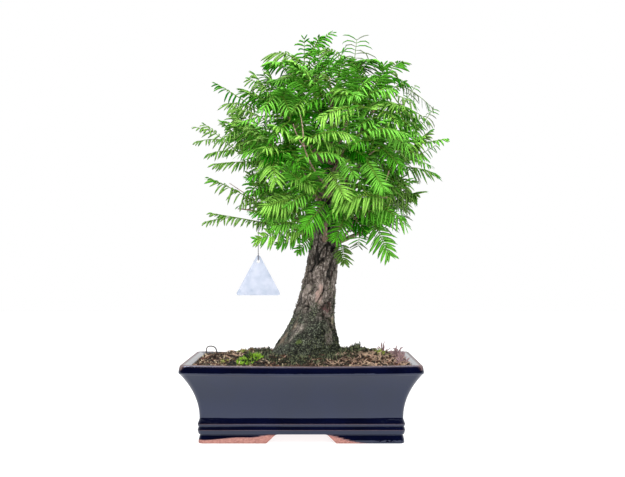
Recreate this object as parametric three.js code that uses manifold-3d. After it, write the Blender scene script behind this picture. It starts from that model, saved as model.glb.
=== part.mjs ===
// Dawn redwood bonsai in a glazed rectangular pot.
// Millimetres, +Z up, -Y towards the viewer, +X to the viewer's right.
// The tree is grown by rule: a leaning trunk, rings of boughs, and at each bough's tip
// a mass of flat needle sprays that keeps to its own cell of the crown.
import * as THREE from "three";
import { mergeVertices } from "three/addons/utils/BufferGeometryUtils.js";
import Module from "manifold-3d";

const wasm = await Module();
wasm.setup();

// Driving dimensions

const CLEAR = 0.3; // gap between neighbouring solids

const POT = {
  length: 310,
  width: 230,
  height: 102,
  corner: 9,
  waistInset: 23.5, // how far the waist stands in from the rim
  rimDrop: 10, // height of the rim's outer face
  lip: 14, // width of the rim's top
  beads: [27, 18], // heights of the two mouldings
  beadProud: 2,
  wall: 10,
  floorTop: 20,
  footHeight: 11.5,
  skirt: 16, // thickness of the skirt that the feet stand in
  archLong: { wide: 90, narrow: 63 },
  archShort: { wide: 78, narrow: 52 },
  drain: { radius: 11, apart: 130 },
};
const SOIL = { edge: 99.5, crest: 108, plateau: 62, bump: 1.2, tuft: 3.1, tuftPitch: 5.4 };
const TRUNK = {
  foot: SOIL.crest + CLEAR,
  tip: 432,
  flare: 28,
  flareFall: 41,
  radius: 20,
  thinsFrom: 215,
  footX: 3.5,
  lean: 0.24,
  rightens: 0.0004,
  ribs: 0.075, // of the radius
};
const CROWN = { x: 32, y: 0, z: 383, reach: 150, depthReach: 146 };

// Where the crown's outline, seen from the front, stands out or falls back:
// angle round the crown's centre from the right, extra reach, and half width in degrees.
const BULGES = [
  { angle: 5, extra: 18, width: 12 },
  { angle: 66, extra: 16, width: 26 },
  { angle: 104, extra: 18, width: 15 },
  { angle: 168, extra: 32, width: 16 },
  { angle: 209, extra: 44, width: 12 },
  { angle: 266, extra: -44, width: 17 },
  { angle: 303, extra: 36, width: 11 },
];

// Rings of boughs from the lowest to the highest. Each bough leaves the trunk at about
// the root height and runs a share of the way to the crown's outline at the elevation.
const RINGS = [
  { name: "low", count: 4, first: -2, elevation: -49, root: 258, share: 0.46, thick: 4.6, arch: 16 },
  { name: "skirt", count: 6, first: 194, elevation: -30, root: 276, share: 0.55, thick: 4.8, arch: 6 },
  { name: "middle", count: 8, first: 180, elevation: 5, root: 312, share: 0.42, thick: 4.4, arch: 8 },
  { name: "shoulder", count: 6, first: 0, elevation: 38, root: 352, share: 0.42, thick: 3.6, arch: 4 },
  { name: "top", count: 2, first: 12, elevation: 68, root: 396, share: 0.4, thick: 2.6, arch: 0 },
];

const BOUGH = { tipRadius: 2.1, sides: 5, steps: 4 };
const STEM = { share: 0.42, rootRadius: 1.7, tipRadius: 0.9, sides: 3, steps: 2 };
const SPRAY = {
  perMass: 5,
  longest: 100,
  shortest: 36,
  stalk: 0.1, // share of its length that bears no needles
  pairs: 6,
  needle: 32,
  rachis: 1.1, // half width of the blade between two teeth
  thick: 1,
  roof: 46, // degrees that each side of the blade hangs down
  curl: 0.004,
  apart: 5.5, // nearest that two sprays of a mass come
  tries: 8,
};
const TAG = {
  along: 0.1, // place on its stem
  width: 61,
  height: 54,
  thick: 0.8,
  hole: 2.4,
  holeDrop: 9,
  corner: 2.5,
  thread: 0.5,
  drop: 56,
};
const WIRE = { x: -137, y: 84, span: 14, rise: 9, radius: 0.9 };

const UP = new THREE.Vector3(0, 0, 1);
const DEG = Math.PI / 180;
const GOLDEN = 137.50776;

// Small tools

const vec = (x, y, z) => new THREE.Vector3(x, y, z);
const lerp = THREE.MathUtils.lerp;

// A share from 0 to 1 that depends only on its two keys.
function chance(key, turn) {
  const n = Math.sin(key * 127.1 + turn * 311.7) * 43758.5453;
  return n - Math.floor(n);
}

function smooth(t) {
  const s = Math.min(1, Math.max(0, t));
  return s * s * (3 - 2 * s);
}

// A closed mesh as a solid for cutting and joining, without triangles that have
// collapsed, and with its faces turned out.
function solidOf(geometry) {
  const bare = new THREE.BufferGeometry();
  bare.setAttribute("position", geometry.getAttribute("position").clone());
  if (geometry.index) bare.setIndex(geometry.index.clone());
  const merged = mergeVertices(bare, 1e-4);
  const corners = merged.index.array;
  const faces = [];
  for (let i = 0; i < corners.length; i += 3) {
    const [a, b, c] = corners.subarray(i, i + 3);
    if (a !== b && b !== c && c !== a) faces.push([a, b, c]);
  }
  const close = (list) =>
    new wasm.Manifold(
      new wasm.Mesh({
        numProp: 3,
        vertProperties: merged.attributes.position.array,
        triVerts: new Uint32Array(list.flat()),
      }),
    );
  const made = close(faces);
  return made.volume() >= 0 ? made : close(faces.map(([a, b, c]) => [b, a, c]));
}

// The solid back as a geometry, with slivers under a fiftieth of a millimetre taken out.
function geometryOf(solid) {
  const mesh = solid.simplify(0.02).getMesh();
  const made = new THREE.BufferGeometry();
  const points = new Float32Array(mesh.numVert * 3);
  for (let i = 0; i < mesh.numVert; i++)
    points.set(mesh.vertProperties.subarray(i * mesh.numProp, i * mesh.numProp + 3), i * 3);
  made.setAttribute("position", new THREE.BufferAttribute(points, 3));
  made.setIndex(new THREE.BufferAttribute(new Uint32Array(mesh.triVerts), 1));
  return made;
}

// The largest body of a solid, which drops loose scraps.
function largest(solid) {
  return solid.decompose().sort((a, b) => b.volume() - a.volume())[0];
}

// Moves every vertex of a geometry by a rule.
function reshape(geometry, rule) {
  const place = geometry.getAttribute("position");
  const p = vec(0, 0, 0);
  for (let i = 0; i < place.count; i++) {
    rule(p.fromBufferAttribute(place, i));
    place.setXYZ(i, p.x, p.y, p.z);
  }
  return geometry;
}

// A round limb that follows a curve: a cylinder bent along it, with its radius by a rule
// of the share of its length and the angle round it.
function limb(curve, radiusAt, sides, steps) {
  const frames = curve.computeFrenetFrames(steps);
  const stations = frames.normals.map((n, i) => ({
    at: curve.getPointAt(i / steps),
    normal: n,
    binormal: frames.binormals[i],
  }));
  return reshape(new THREE.CylinderGeometry(1, 1, 1, sides, steps), (p) => {
    const share = p.y + 0.5;
    const station = stations[Math.round(share * steps)];
    const out = Math.hypot(p.x, p.z);
    const angle = Math.atan2(p.z, p.x);
    const r = out * radiusAt(share, angle);
    p.copy(station.at)
      .addScaledVector(station.normal, r * Math.cos(angle))
      .addScaledVector(station.binormal, r * Math.sin(angle));
  });
}

// The pot with its soil, the limbs, the foliage and the tag are groups of the plant.
const group = new THREE.Group();
const plant = new THREE.Group();
const potGroup = new THREE.Group();
const limbGroup = new THREE.Group();
const foliageGroup = new THREE.Group();
const tagGroup = new THREE.Group();
plant.add(potGroup, limbGroup, foliageGroup, tagGroup);
group.add(plant);

function show(into, name, geometry, colour, roughness) {
  const material = new THREE.MeshStandardMaterial({ color: colour, roughness, metalness: 0 });
  const mesh = new THREE.Mesh(geometry, material);
  mesh.name = name;
  into.add(mesh);
}

// Pot

const RING_POINTS = 20;

// Point j of the pot's plan, a rectangle with round corners set in by an inset.
function planPoint(j, inset) {
  const perCorner = RING_POINTS / 4;
  const corner = Math.floor(j / perCorner) % 4;
  const turn = ((j % perCorner) / (perCorner - 1) + corner) * 90 * DEG;
  const round = Math.max(2, POT.corner - 0.25 * inset);
  const x = POT.length / 2 - inset - round;
  const y = POT.width / 2 - inset - round;
  const side = [
    [1, 1],
    [-1, 1],
    [-1, -1],
    [1, -1],
  ][corner];
  return new THREE.Vector2(
    side[0] * x + round * Math.cos(turn),
    side[1] * y + round * Math.sin(turn),
  );
}

// The pot's outline from the foot to the rim: [inset, height].
function potProfile() {
  const waist = POT.waistInset;
  const points = [[waist, 0]];
  for (const z of [...POT.beads].reverse()) {
    points.push([waist, z - 4.6], [waist - POT.beadProud, z - 1.8]);
    points.push([waist - POT.beadProud, z + 1.8], [waist, z + 4.4]);
  }
  const top = POT.height - POT.rimDrop;
  const foot = POT.beads[0] + 8;
  for (let k = 1; k <= 6; k++) {
    const t = k / 6;
    points.push([lerp(waist, 1.5, Math.pow(t, 2.15)), lerp(foot, top - 1, t)]);
  }
  points.push([0.4, top + 1.5], [0, POT.height - 2.5], [1.6, POT.height - 0.3]);
  points.push([3.5, POT.height], [POT.lip, POT.height - 2.5]);
  points.push([waist + POT.wall, POT.floorTop]);
  return points;
}

function makePot() {
  const outline = potProfile();
  const half = POT.length / 2;
  const profile = [
    new THREE.Vector2(0, 0),
    ...outline.map(([inset, z]) => new THREE.Vector2(half - inset, z)),
    new THREE.Vector2(0, POT.floorTop),
  ];
  const shell = reshape(new THREE.LatheGeometry(profile, RING_POINTS), (p) => {
    const out = Math.hypot(p.x, p.z);
    const turn = Math.atan2(p.x, p.z) / (2 * Math.PI);
    const j = Math.round((turn < 0 ? turn + 1 : turn) * RING_POINTS) % RING_POINTS;
    const plan = out < 1 ? new THREE.Vector2(0, 0) : planPoint(j, half - out);
    p.set(plan.x, plan.y, p.y);
  });
  let pot = solidOf(shell);
  const inner = POT.waistInset + POT.skirt;
  const hollow = new THREE.BoxGeometry(
    POT.length - 2 * inner,
    POT.width - 2 * inner,
    2 * POT.footHeight,
  );
  pot = pot.subtract(solidOf(hollow));
  pot = pot.subtract(solidOf(archBar(POT.archLong, POT.width)));
  pot = pot.subtract(solidOf(archBar(POT.archShort, POT.length).rotateZ(90 * DEG)));
  for (const side of [-1, 1]) {
    const { radius, apart } = POT.drain;
    const drain = new THREE.CylinderGeometry(radius, radius, 3 * POT.floorTop, 12);
    drain.rotateX(90 * DEG).translate((side * apart) / 2, 0, 0);
    pot = pot.subtract(solidOf(drain));
  }
  return geometryOf(pot);
}

// The bar that cuts the arches between two pairs of feet, as long as the pot.
function archBar({ wide, narrow }, run) {
  const arch = new THREE.Shape();
  arch.moveTo(-wide / 2, -1);
  arch.lineTo(wide / 2, -1);
  arch.lineTo(narrow / 2 + 5, POT.footHeight * 0.62);
  arch.lineTo(narrow / 2, POT.footHeight);
  arch.lineTo(-narrow / 2, POT.footHeight);
  arch.lineTo(-narrow / 2 - 5, POT.footHeight * 0.62);
  const bar = new THREE.ExtrudeGeometry(arch, { depth: run + 10, bevelEnabled: false });
  return bar.translate(0, 0, -(run + 10) / 2).rotateX(90 * DEG);
}

// Soil

const SOIL_POINTS = 48;

// Point j of a square of half side 1, walked round from its middle right.
function squarePoint(j) {
  const turn = (j / SOIL_POINTS) * 2 * Math.PI;
  const flat = Math.max(Math.abs(Math.cos(turn)), Math.abs(Math.sin(turn)));
  return new THREE.Vector2(Math.cos(turn) / flat, Math.sin(turn) / flat);
}

// Point j of the soil's plan, an inset inside the rim, with its corners cut in a little.
function soilPoint(j, inset) {
  const p = squarePoint(j);
  const corner = Math.abs(p.x) > 0.99 && Math.abs(p.y) > 0.99 ? 0.975 : 1;
  return p.multiply(
    new THREE.Vector2((POT.length / 2 - inset) * corner, (POT.width / 2 - inset) * corner),
  );
}

// Hummocks of moss, crests and hollows in turn across and in depth, in rows that wander.
function hummocks(x, y) {
  const across = Math.sin(x / SOIL.tuftPitch + 1.7 * Math.sin(y / 31));
  return SOIL.tuft * across * Math.sin(y / (0.94 * SOIL.tuftPitch) + 1.3 * Math.sin(x / 37));
}

// Height of the soil's surface outside the flat top that the trunk stands on.
function soilHeight(x, y, share) {
  const swell = Math.sin(x / 19 + 1.3) * Math.cos(y / 23) + 0.6 * Math.sin(x / 9 - y / 13);
  const mound = 3.4 * Math.exp(-(((x - 88) / 38) ** 2) - ((y - 30) / 45) ** 2);
  const cushion = 8 * Math.exp(-(((x - 70) / 13) ** 2) - ((y + 4) / 20) ** 2);
  const edge = smooth(5 * share * (1 - share));
  const level = lerp(SOIL.crest, SOIL.edge, smooth(share));
  return level + edge * (SOIL.bump * swell + mound + cushion + hummocks(x, y));
}

function makeSoil() {
  const shares = [0, 0.17, 0.34, 0.52, 0.7, 0.86, 1];
  const profile = [new THREE.Vector2(0, SOIL.crest)];
  for (const s of shares) profile.push(new THREE.Vector2(1 + s, SOIL.crest));
  profile.push(new THREE.Vector2(2, POT.floorTop), new THREE.Vector2(0, POT.floorTop));
  const topInset = POT.lip + CLEAR * 2;
  const footInset = POT.waistInset + POT.wall + CLEAR * 2;
  const made = reshape(new THREE.LatheGeometry(profile, SOIL_POINTS), (p) => {
    const code = Math.hypot(p.x, p.z);
    const turn = Math.atan2(p.x, p.z) / (2 * Math.PI);
    const j = Math.round((turn < 0 ? turn + 1 : turn) * SOIL_POINTS) % SOIL_POINTS;
    const under = p.y < SOIL.crest - 1;
    if (code < 0.5) return p.set(0, 0, under ? POT.floorTop + CLEAR : SOIL.crest);
    const share = code - 1;
    const rim = soilPoint(j, under ? footInset : topInset);
    if (under) return p.set(rim.x, rim.y, POT.floorTop + CLEAR);
    const at = squarePoint(j).setLength(SOIL.plateau).lerp(rim, share);
    return p.set(at.x, at.y, share === 0 ? SOIL.crest : soilHeight(at.x, at.y, share));
  });
  return geometryOf(solidOf(made));
}

// Trunk

function trunkCentre(z) {
  const up = z - SOIL.crest;
  return vec(
    TRUNK.footX + TRUNK.lean * up - TRUNK.rightens * up * up,
    2.2 * Math.sin(up / 47 + 0.6),
    z,
  );
}

function trunkRadius(z) {
  const up = z - SOIL.crest;
  const thin = smooth((z - TRUNK.thinsFrom) / (TRUNK.tip - TRUNK.thinsFrom));
  const flare = TRUNK.flare * Math.exp(-((up / TRUNK.flareFall) ** 1.4));
  return TRUNK.radius * (1 - 0.85 * thin) + flare;
}

// The roots swell out in lobes round the foot and fade upwards, and old bark stands in
// five broad ribs that wander and swell as they climb.
function trunkLobes(z, angle) {
  const low = Math.exp(-(z - SOIL.crest) / 38);
  const lobes = 0.1 * Math.cos(3 * angle + 0.5) + 0.06 * Math.cos(5 * angle - 1.1);
  const wander = 5 * angle + 1.6 * Math.sin(z / 41) + 2.2;
  const ribs = TRUNK.ribs * Math.cos(wander) * (0.7 + 0.3 * Math.sin(z / 13 + 2 * angle));
  return 1 + low * lobes + 0.035 * Math.sin(2 * angle + z / 26) + ribs;
}

function makeTrunk(extra) {
  const steps = 18;
  return reshape(new THREE.CylinderGeometry(1, 1, 1, 20, steps), (p) => {
    const share = p.y + 0.5;
    const z = lerp(TRUNK.foot, TRUNK.tip, Math.pow(share, 1.35));
    const centre = trunkCentre(z);
    const angle = Math.atan2(p.z, p.x);
    const r = Math.hypot(p.x, p.z) * (trunkRadius(z) * trunkLobes(z, angle) + extra);
    p.set(centre.x + r * Math.cos(angle), centre.y - r * Math.sin(angle), z);
  });
}

// Crown

// How far the crown reaches from its centre in a direction.
function crownReach(way) {
  const angle = Math.atan2(way.z, way.x) / DEG;
  let seen = CROWN.reach;
  for (const { angle: at, extra, width } of BULGES) {
    const off = ((((angle - at) % 360) + 540) % 360) - 180;
    seen += extra * Math.exp(-((off / width) ** 2));
  }
  const across = way.x * way.x + way.z * way.z;
  return lerp(CROWN.depthReach, seen, across * across);
}

function direction(azimuth, elevation) {
  const level = Math.cos(elevation * DEG);
  return vec(
    level * Math.cos(azimuth * DEG),
    level * Math.sin(azimuth * DEG),
    Math.sin(elevation * DEG),
  );
}

const crownCentre = vec(CROWN.x, CROWN.y, CROWN.z);

const boughRadius = (ring, share) => lerp(ring.thick, BOUGH.tipRadius, Math.pow(share, 0.8));
const stemRadius = (share) => lerp(STEM.rootRadius, STEM.tipRadius, share);

// Points and radii along a bough.
function boughBalls({ root, through, tip, ring }) {
  const curve = new THREE.QuadraticBezierCurve3(root, through, tip);
  const balls = [];
  for (let i = 0; i <= 16; i++) {
    const share = i / 16;
    balls.push({ at: curve.getPoint(share), radius: boughRadius(ring, share) });
  }
  return balls;
}

// True where two rows of balls meet outside the trunk.
function cross(balls, others) {
  return balls.some(({ at, radius }) => {
    const bare = Math.hypot(at.x - trunkCentre(at.z).x, at.y - trunkCentre(at.z).y);
    if (bare < trunkRadius(at.z) - 2) return false;
    return others.some((o) => o.at.distanceTo(at) < o.radius + radius + 1.5);
  });
}

function planBough(ring, k, key, turn) {
  const azimuth = ring.first + (360 / ring.count) * k + 14 * (chance(key, 1) - 0.5) + turn;
  const way = direction(azimuth, ring.elevation + 8 * (chance(key, 2) - 0.5));
  const aim = crownCentre.clone().addScaledVector(way, crownReach(way));
  const root = trunkCentre(ring.root + 18 * (chance(key, 3) - 0.5));
  const tip = root.clone().lerp(aim, ring.share);
  tip.z += ring.arch + 8 * chance(key, 4);
  const through = root.clone().lerp(tip, 0.5);
  through.z -= 5 + 4 * chance(key, 5);
  through.y += 7 * (chance(key, 6) - 0.5);
  return { key, ring, number: k + 1, root, through, tip, aim };
}

// Every place in the crown where a mass grows: its bough, its aim and its cell's site. A
// bough that would cross an earlier one is turned round the trunk until it is clear.
function planCrown() {
  const places = [];
  for (const ring of RINGS) {
    for (let k = 0; k < ring.count; k++) {
      const key = places.length + 1;
      let place;
      for (let step = 0; step < 20; step++) {
        const turn = 3 * Math.ceil(step / 2) * (step % 2 ? 1 : -1);
        place = planBough(ring, k, key, turn);
        place.balls = boughBalls(place);
        if (!places.some((other) => cross(place.balls, other.balls))) break;
      }
      places.push(place);
    }
  }
  const peak = trunkCentre(TRUNK.tip);
  const aim = vec(peak.x - 6, 0, CROWN.z + crownReach(UP));
  places.push({ key: places.length + 1, ring: null, root: null, tip: peak, aim, balls: [] });
  for (const place of places) {
    place.site = place.tip.clone().lerp(place.aim, 0.42);
    place.way = place.aim.clone().sub(place.tip).normalize();
  }
  return places;
}

const places = planCrown();

// True where a point lies in the cell of a place, at least the margin inside its walls.
function inCell(point, place, margin) {
  for (const other of places) {
    if (other === place) continue;
    const across = place.site.clone().sub(other.site);
    const middle = place.site.clone().add(other.site).multiplyScalar(0.5);
    if (point.clone().sub(middle).dot(across.normalize()) < margin) return false;
  }
  return true;
}

// Limbs as rows of balls, for keeping needles off them.
const limbBalls = [];

function offLimbs(point, margin) {
  return limbBalls.every(({ at, radius }) => at.distanceTo(point) > radius + margin);
}

function makeBough(place, trunkGrown) {
  const curve = new THREE.QuadraticBezierCurve3(place.root, place.through, place.tip);
  const radiusAt = (share) => boughRadius(place.ring, share);
  const whole = solidOf(limb(curve, radiusAt, BOUGH.sides, BOUGH.steps));
  return geometryOf(largest(whole.subtract(trunkGrown)));
}

// The stem that carries a mass's sprays on from its bough's tip.
function stemCurve(place) {
  const along = place.root
    ? place.tip.clone().sub(place.through).normalize()
    : UP.clone();
  const run = STEM.share * place.aim.distanceTo(place.tip);
  const from = place.tip.clone().addScaledVector(along, CLEAR);
  const through = from.clone().addScaledVector(along, run * 0.4);
  const to = through.clone().addScaledVector(place.way, run * 0.6);
  return new THREE.QuadraticBezierCurve3(from, through, to);
}

// Where spray k of a mass starts and which way it points, at one of several tries.
function sprayStart(place, curve, k, attempt) {
  const share = lerp(0.2, 1, k / (SPRAY.perMass - 1));
  const last = k === SPRAY.perMass - 1;
  const key = place.key * 10 + k;
  const spin = ((k + 0.37 * attempt) * GOLDEN + 360 * chance(place.key, 7)) * DEG;
  const spread = last ? 6 + 12 * attempt : lerp(76, 42, share) + 10 * (chance(key, 8) - 0.5);
  const level = vec(0, 0, 1).cross(place.way);
  if (level.length() < 0.3) level.set(1, 0, 0).cross(place.way);
  level.normalize();
  const lift = place.way.clone().cross(level).normalize();
  const way = place.way
    .clone()
    .multiplyScalar(Math.cos(spread * DEG))
    .addScaledVector(level, Math.sin(spread * DEG) * Math.cos(spin))
    .addScaledVector(lift, 0.8 * Math.sin(spread * DEG) * Math.sin(spin))
    .normalize();
  return { from: curve.getPoint(share), way, key, last };
}

// A spray as a flat drawing, u along it and v across, bent into place: it arches down
// along its length, and each side hangs like a roof.
function sprayBend({ from, way, key }, length) {
  const side = way.clone().cross(UP);
  if (side.length() < 0.25) side.copy(direction(360 * chance(key, 9), 0)).cross(way);
  side.normalize().applyAxisAngle(way, 40 * (chance(key, 10) - 0.5) * DEG);
  const level = 1 - Math.abs(way.z);
  const arch = (0.1 + 0.22 * chance(key, 11)) * (0.3 + level);
  const roof = SPRAY.roof * (0.7 + 0.6 * chance(key, 12)) * DEG;
  const normal = side.clone().cross(way).normalize();
  return (u, v, w) =>
    from
      .clone()
      .addScaledVector(way, u)
      .addScaledVector(side, v * Math.cos(roof))
      .addScaledVector(normal, w)
      .addScaledVector(
        UP,
        -(arch * u * u) / length - Math.abs(v) * Math.sin(roof) - SPRAY.curl * v * v,
      );
}

// Needle tips of a spray in its flat drawing: short at both ends, swept forward more
// towards the tip.
function needleTips(length, pairs) {
  const tips = [];
  const first = SPRAY.stalk * length;
  for (let i = 0; i < pairs; i++) {
    const t = (i + 0.5) / pairs;
    const u = lerp(first, length * 0.94, t);
    const size = SPRAY.needle * Math.pow(Math.sin(Math.PI * lerp(0.2, 0.9, t)), 0.7);
    const sweep = lerp(72, 38, t) * DEG;
    tips.push({ root: u, out: size * Math.sin(sweep), ahead: size * Math.cos(sweep) });
  }
  return tips;
}

// The longest length at which the spray's tip stays in its cell and inside the crown.
function fitLength(start, place) {
  const full = start.last ? 1 : lerp(0.9, 1, chance(start.key, 13));
  for (let length = SPRAY.longest; length >= SPRAY.shortest; length -= 4) {
    const bend = sprayBend(start, length);
    const end = bend(length, 0, 0);
    const out = end.clone().sub(crownCentre);
    const inside = out.length() <= crownReach(out.clone().normalize()) * full;
    const middle = bend(length / 2, 0, 0);
    const clear = offLimbs(end, 3) && offLimbs(middle, 3);
    if (inside && clear && inCell(end, place, 1.5) && inCell(middle, place, 1.5))
      return length;
  }
  return 0;
}

// Places spread over a spray, for keeping the sprays of a mass apart.
function sprayPoints(start, length) {
  const bend = sprayBend(start, length);
  const points = [];
  for (const u of [0.3, 0.5, 0.7, 0.9])
    for (const v of [-0.7, -0.35, 0, 0.35, 0.7])
      points.push(bend(u * length, v * SPRAY.needle, 0));
  return points;
}

function near(point, others, distance) {
  return others.some((o) => o.distanceTo(point) < distance);
}

// One spray as a toothed blade, its teeth pointed and thin at the tip. A tooth that would
// leave the cell, or touch a limb or an earlier spray, is drawn shorter, and left out where
// even a short one would.
function makeSpray(start, length, place, taken) {
  const bend = sprayBend(start, length);
  const pairs = Math.max(3, Math.round((SPRAY.pairs * length) / SPRAY.longest));
  const tips = needleTips(length, pairs);
  const free = (u, v) => {
    const p = bend(u, v, 0);
    return inCell(p, place, 1.1) && offLimbs(p, 1.6) && !near(p, taken, SPRAY.apart);
  };
  const tooth = ({ root, out, ahead }, side) => {
    for (const cut of [1, 0.8, 0.6, 0.42]) {
      const u = root + ahead * cut;
      const v = side * out * cut;
      if (free(u, v) && free((root + u) / 2, v / 2)) return new THREE.Vector2(u, v);
    }
    return null;
  };
  const pitch = (length * (0.94 - SPRAY.stalk)) / pairs;
  const edge = (side) => {
    const points = [];
    for (const tip of tips) {
      const end = tooth(tip, side);
      points.push(new THREE.Vector2(tip.root - pitch / 2, side * SPRAY.rachis));
      if (end) points.push(end);
    }
    return points;
  };
  const outline = new THREE.Shape([
    new THREE.Vector2(-1, SPRAY.rachis * -0.8),
    ...edge(-1),
    new THREE.Vector2(length, 0),
    ...edge(1).reverse(),
    new THREE.Vector2(-1, SPRAY.rachis * 0.8),
  ]);
  const flat = new THREE.ExtrudeGeometry(outline, { depth: SPRAY.thick, bevelEnabled: false });
  const blade = reshape(flat, (p) => {
    const atTip = Math.abs(p.y) > 2 * SPRAY.rachis || p.x === length;
    p.copy(bend(p.x, p.y, atTip ? 0 : p.z - SPRAY.thick / 2));
  });
  return solidOf(blade);
}

// The best of several tries at a spray: long, and clear of the mass's earlier sprays.
function bestSpray(place, curve, k, taken) {
  let best = { score: 0 };
  for (let attempt = 0; attempt < SPRAY.tries; attempt++) {
    const start = sprayStart(place, curve, k, attempt);
    const length = fitLength(start, place);
    if (!length) continue;
    const points = sprayPoints(start, length);
    const crowded = points.filter((point) => near(point, taken, 2 * SPRAY.apart)).length;
    const score = length - 5 * crowded;
    if (score > best.score) best = { score, start, length, points };
  }
  return best;
}

function makeMass(place) {
  const curve = stemCurve(place);
  let mass = solidOf(limb(curve, stemRadius, STEM.sides, STEM.steps));
  const taken = [];
  for (let k = 0; k < SPRAY.perMass; k++) {
    const { score, start, length, points } = bestSpray(place, curve, k, taken);
    if (!score) continue;
    mass = mass.add(makeSpray(start, length, place, taken));
    taken.push(...points);
  }
  return geometryOf(largest(mass));
}

// Tag on its thread

// A plain three-cornered tag with round corners and a hole near its top corner.
function makeTag(top) {
  const half = TAG.width / 2;
  const outline = new THREE.Shape();
  const foot = -TAG.height;
  const r = TAG.corner;
  outline.moveTo(-half + 2 * r, foot);
  outline.lineTo(half - 2 * r, foot);
  outline.quadraticCurveTo(half, foot, half - r, foot + 1.8 * r);
  outline.lineTo(r, -r * 0.9);
  outline.quadraticCurveTo(0, 0.4, -r, -r * 0.9);
  outline.lineTo(-half + r, foot + 1.8 * r);
  outline.quadraticCurveTo(-half, foot, -half + 2 * r, foot);
  const hole = new THREE.Path();
  hole.absarc(0, -TAG.holeDrop, TAG.hole, 0, 2 * Math.PI, true);
  outline.holes.push(hole);
  const card = new THREE.ExtrudeGeometry(outline, {
    depth: TAG.thick,
    bevelEnabled: false,
    curveSegments: 6,
  });
  return card.translate(0, 0, -TAG.thick / 2).rotateX(90 * DEG).translate(top.x, top.y, top.z);
}

// The thread: a hook over the stem, a straight drop, and down the front of the tag,
// through its hole and up behind it.
function makeThread(stemPoint, tagTop) {
  const hook = stemRadius(TAG.along) + CLEAR + TAG.thread + 0.2;
  const leg = TAG.thick / 2 + TAG.thread + 0.45;
  const holeTop = tagTop.z - TAG.holeDrop + TAG.hole - TAG.thread - 3 * CLEAR;
  const at = (y, z) => vec(stemPoint.x, stemPoint.y + y, z);
  const z = stemPoint.z;
  const path = new THREE.CatmullRomCurve3([
    at(hook * 0.9, z - hook * 0.9),
    at(hook, z),
    at(hook * 0.6, z + hook * 0.8),
    at(0, z + hook),
    at(-hook * 0.6, z + hook * 0.8),
    at(-hook, z),
    at(-leg, z - 9),
    at(-leg, (z + tagTop.z) / 2),
    at(-leg, holeTop + 3),
    at(-leg * 0.8, holeTop + 0.4),
    at(0, holeTop - 0.1),
    at(leg * 0.8, holeTop + 0.4),
    at(leg, holeTop + 3),
    at(leg, tagTop.z + 2),
  ]);
  return tube(path, TAG.thread, 5, 26);
}

// A round tube of one radius along a path.
function tube(path, radius, sides, steps) {
  const ring = new THREE.Shape();
  for (let i = 0; i < sides; i++) {
    const turn = (i / sides) * 2 * Math.PI;
    const point = [radius * Math.cos(turn), radius * Math.sin(turn)];
    if (i) ring.lineTo(...point);
    else ring.moveTo(...point);
  }
  return new THREE.ExtrudeGeometry(ring, { steps, extrudePath: path, bevelEnabled: false });
}

// The bent end of the wire that ties the root ball down, its legs cut at the soil.
function makeAnchorWire(soil) {
  const foot = SOIL.edge - 3;
  const top = SOIL.edge + 2.6;
  const arch = new THREE.CatmullRomCurve3([
    vec(WIRE.x, WIRE.y, foot),
    vec(WIRE.x + 0.5, WIRE.y, top + WIRE.rise * 0.75),
    vec(WIRE.x + 4, WIRE.y - 0.5, top + WIRE.rise),
    vec(WIRE.x + WIRE.span - 3, WIRE.y - 1.5, top + WIRE.rise * 0.9),
    vec(WIRE.x + WIRE.span, WIRE.y - 2, top + WIRE.rise * 0.5),
    vec(WIRE.x + WIRE.span + 0.5, WIRE.y - 2, foot),
  ]);
  const raised = solidOf(soil.clone().translate(0, 0, CLEAR));
  return geometryOf(largest(solidOf(tube(arch, WIRE.radius, 6, 14)).subtract(raised)));
}

// Assembly

const BARK = 0x5b4a40;
const NEEDLE = 0x4f9a2c;

show(potGroup, "pot", makePot(), 0x141a3a, 0.2);
const soil = makeSoil();
show(potGroup, "soil", soil, 0x4a3d2c, 0.95);
show(potGroup, "anchor_wire", makeAnchorWire(soil), 0x4a3a33, 0.6);
show(limbGroup, "trunk", geometryOf(solidOf(makeTrunk(0))), BARK, 0.9);

const trunkGrown = solidOf(makeTrunk(CLEAR));
for (let z = TRUNK.foot; z < TRUNK.tip; z += 4)
  limbBalls.push({ at: trunkCentre(z), radius: trunkRadius(z) });
for (const place of places) {
  limbBalls.push(...place.balls);
  if (!place.ring) continue;
  const name = `${place.ring.name}_bough_${place.number}`;
  show(limbGroup, name, makeBough(place, trunkGrown), BARK, 0.9);
}

const tagPlace = places.find(({ ring, number }) => ring?.name === "skirt" && number === 1);
const tagStem = stemCurve(tagPlace).getPoint(TAG.along);
const tagTop = tagStem.clone().add(vec(0, 0, -TAG.drop));
show(tagGroup, "tag", makeTag(tagTop), 0xe8eaee, 0.4);
show(tagGroup, "tag_thread", makeThread(tagStem, tagTop), 0x5a5560, 0.6);
for (let drop = -3; drop < TAG.drop; drop += 2)
  limbBalls.push({ at: tagStem.clone().add(vec(0, 0, -drop)), radius: 2.6 });

for (const place of places) {
  const name = place.ring ? `${place.ring.name}_mass_${place.number}` : "apex_mass";
  show(foliageGroup, name, makeMass(place), NEEDLE, 0.55);
}

// The origin is the middle of the whole part's footprint box, on the ground.
const span = new THREE.Box3().setFromObject(plant);
const middle = span.getCenter(vec(0, 0, 0));
plant.position.set(-middle.x, -middle.y, -span.min.z);

export default group;
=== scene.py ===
import logging
from collections.abc import Sequence
from dataclasses import dataclass, field
from enum import Enum

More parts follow.
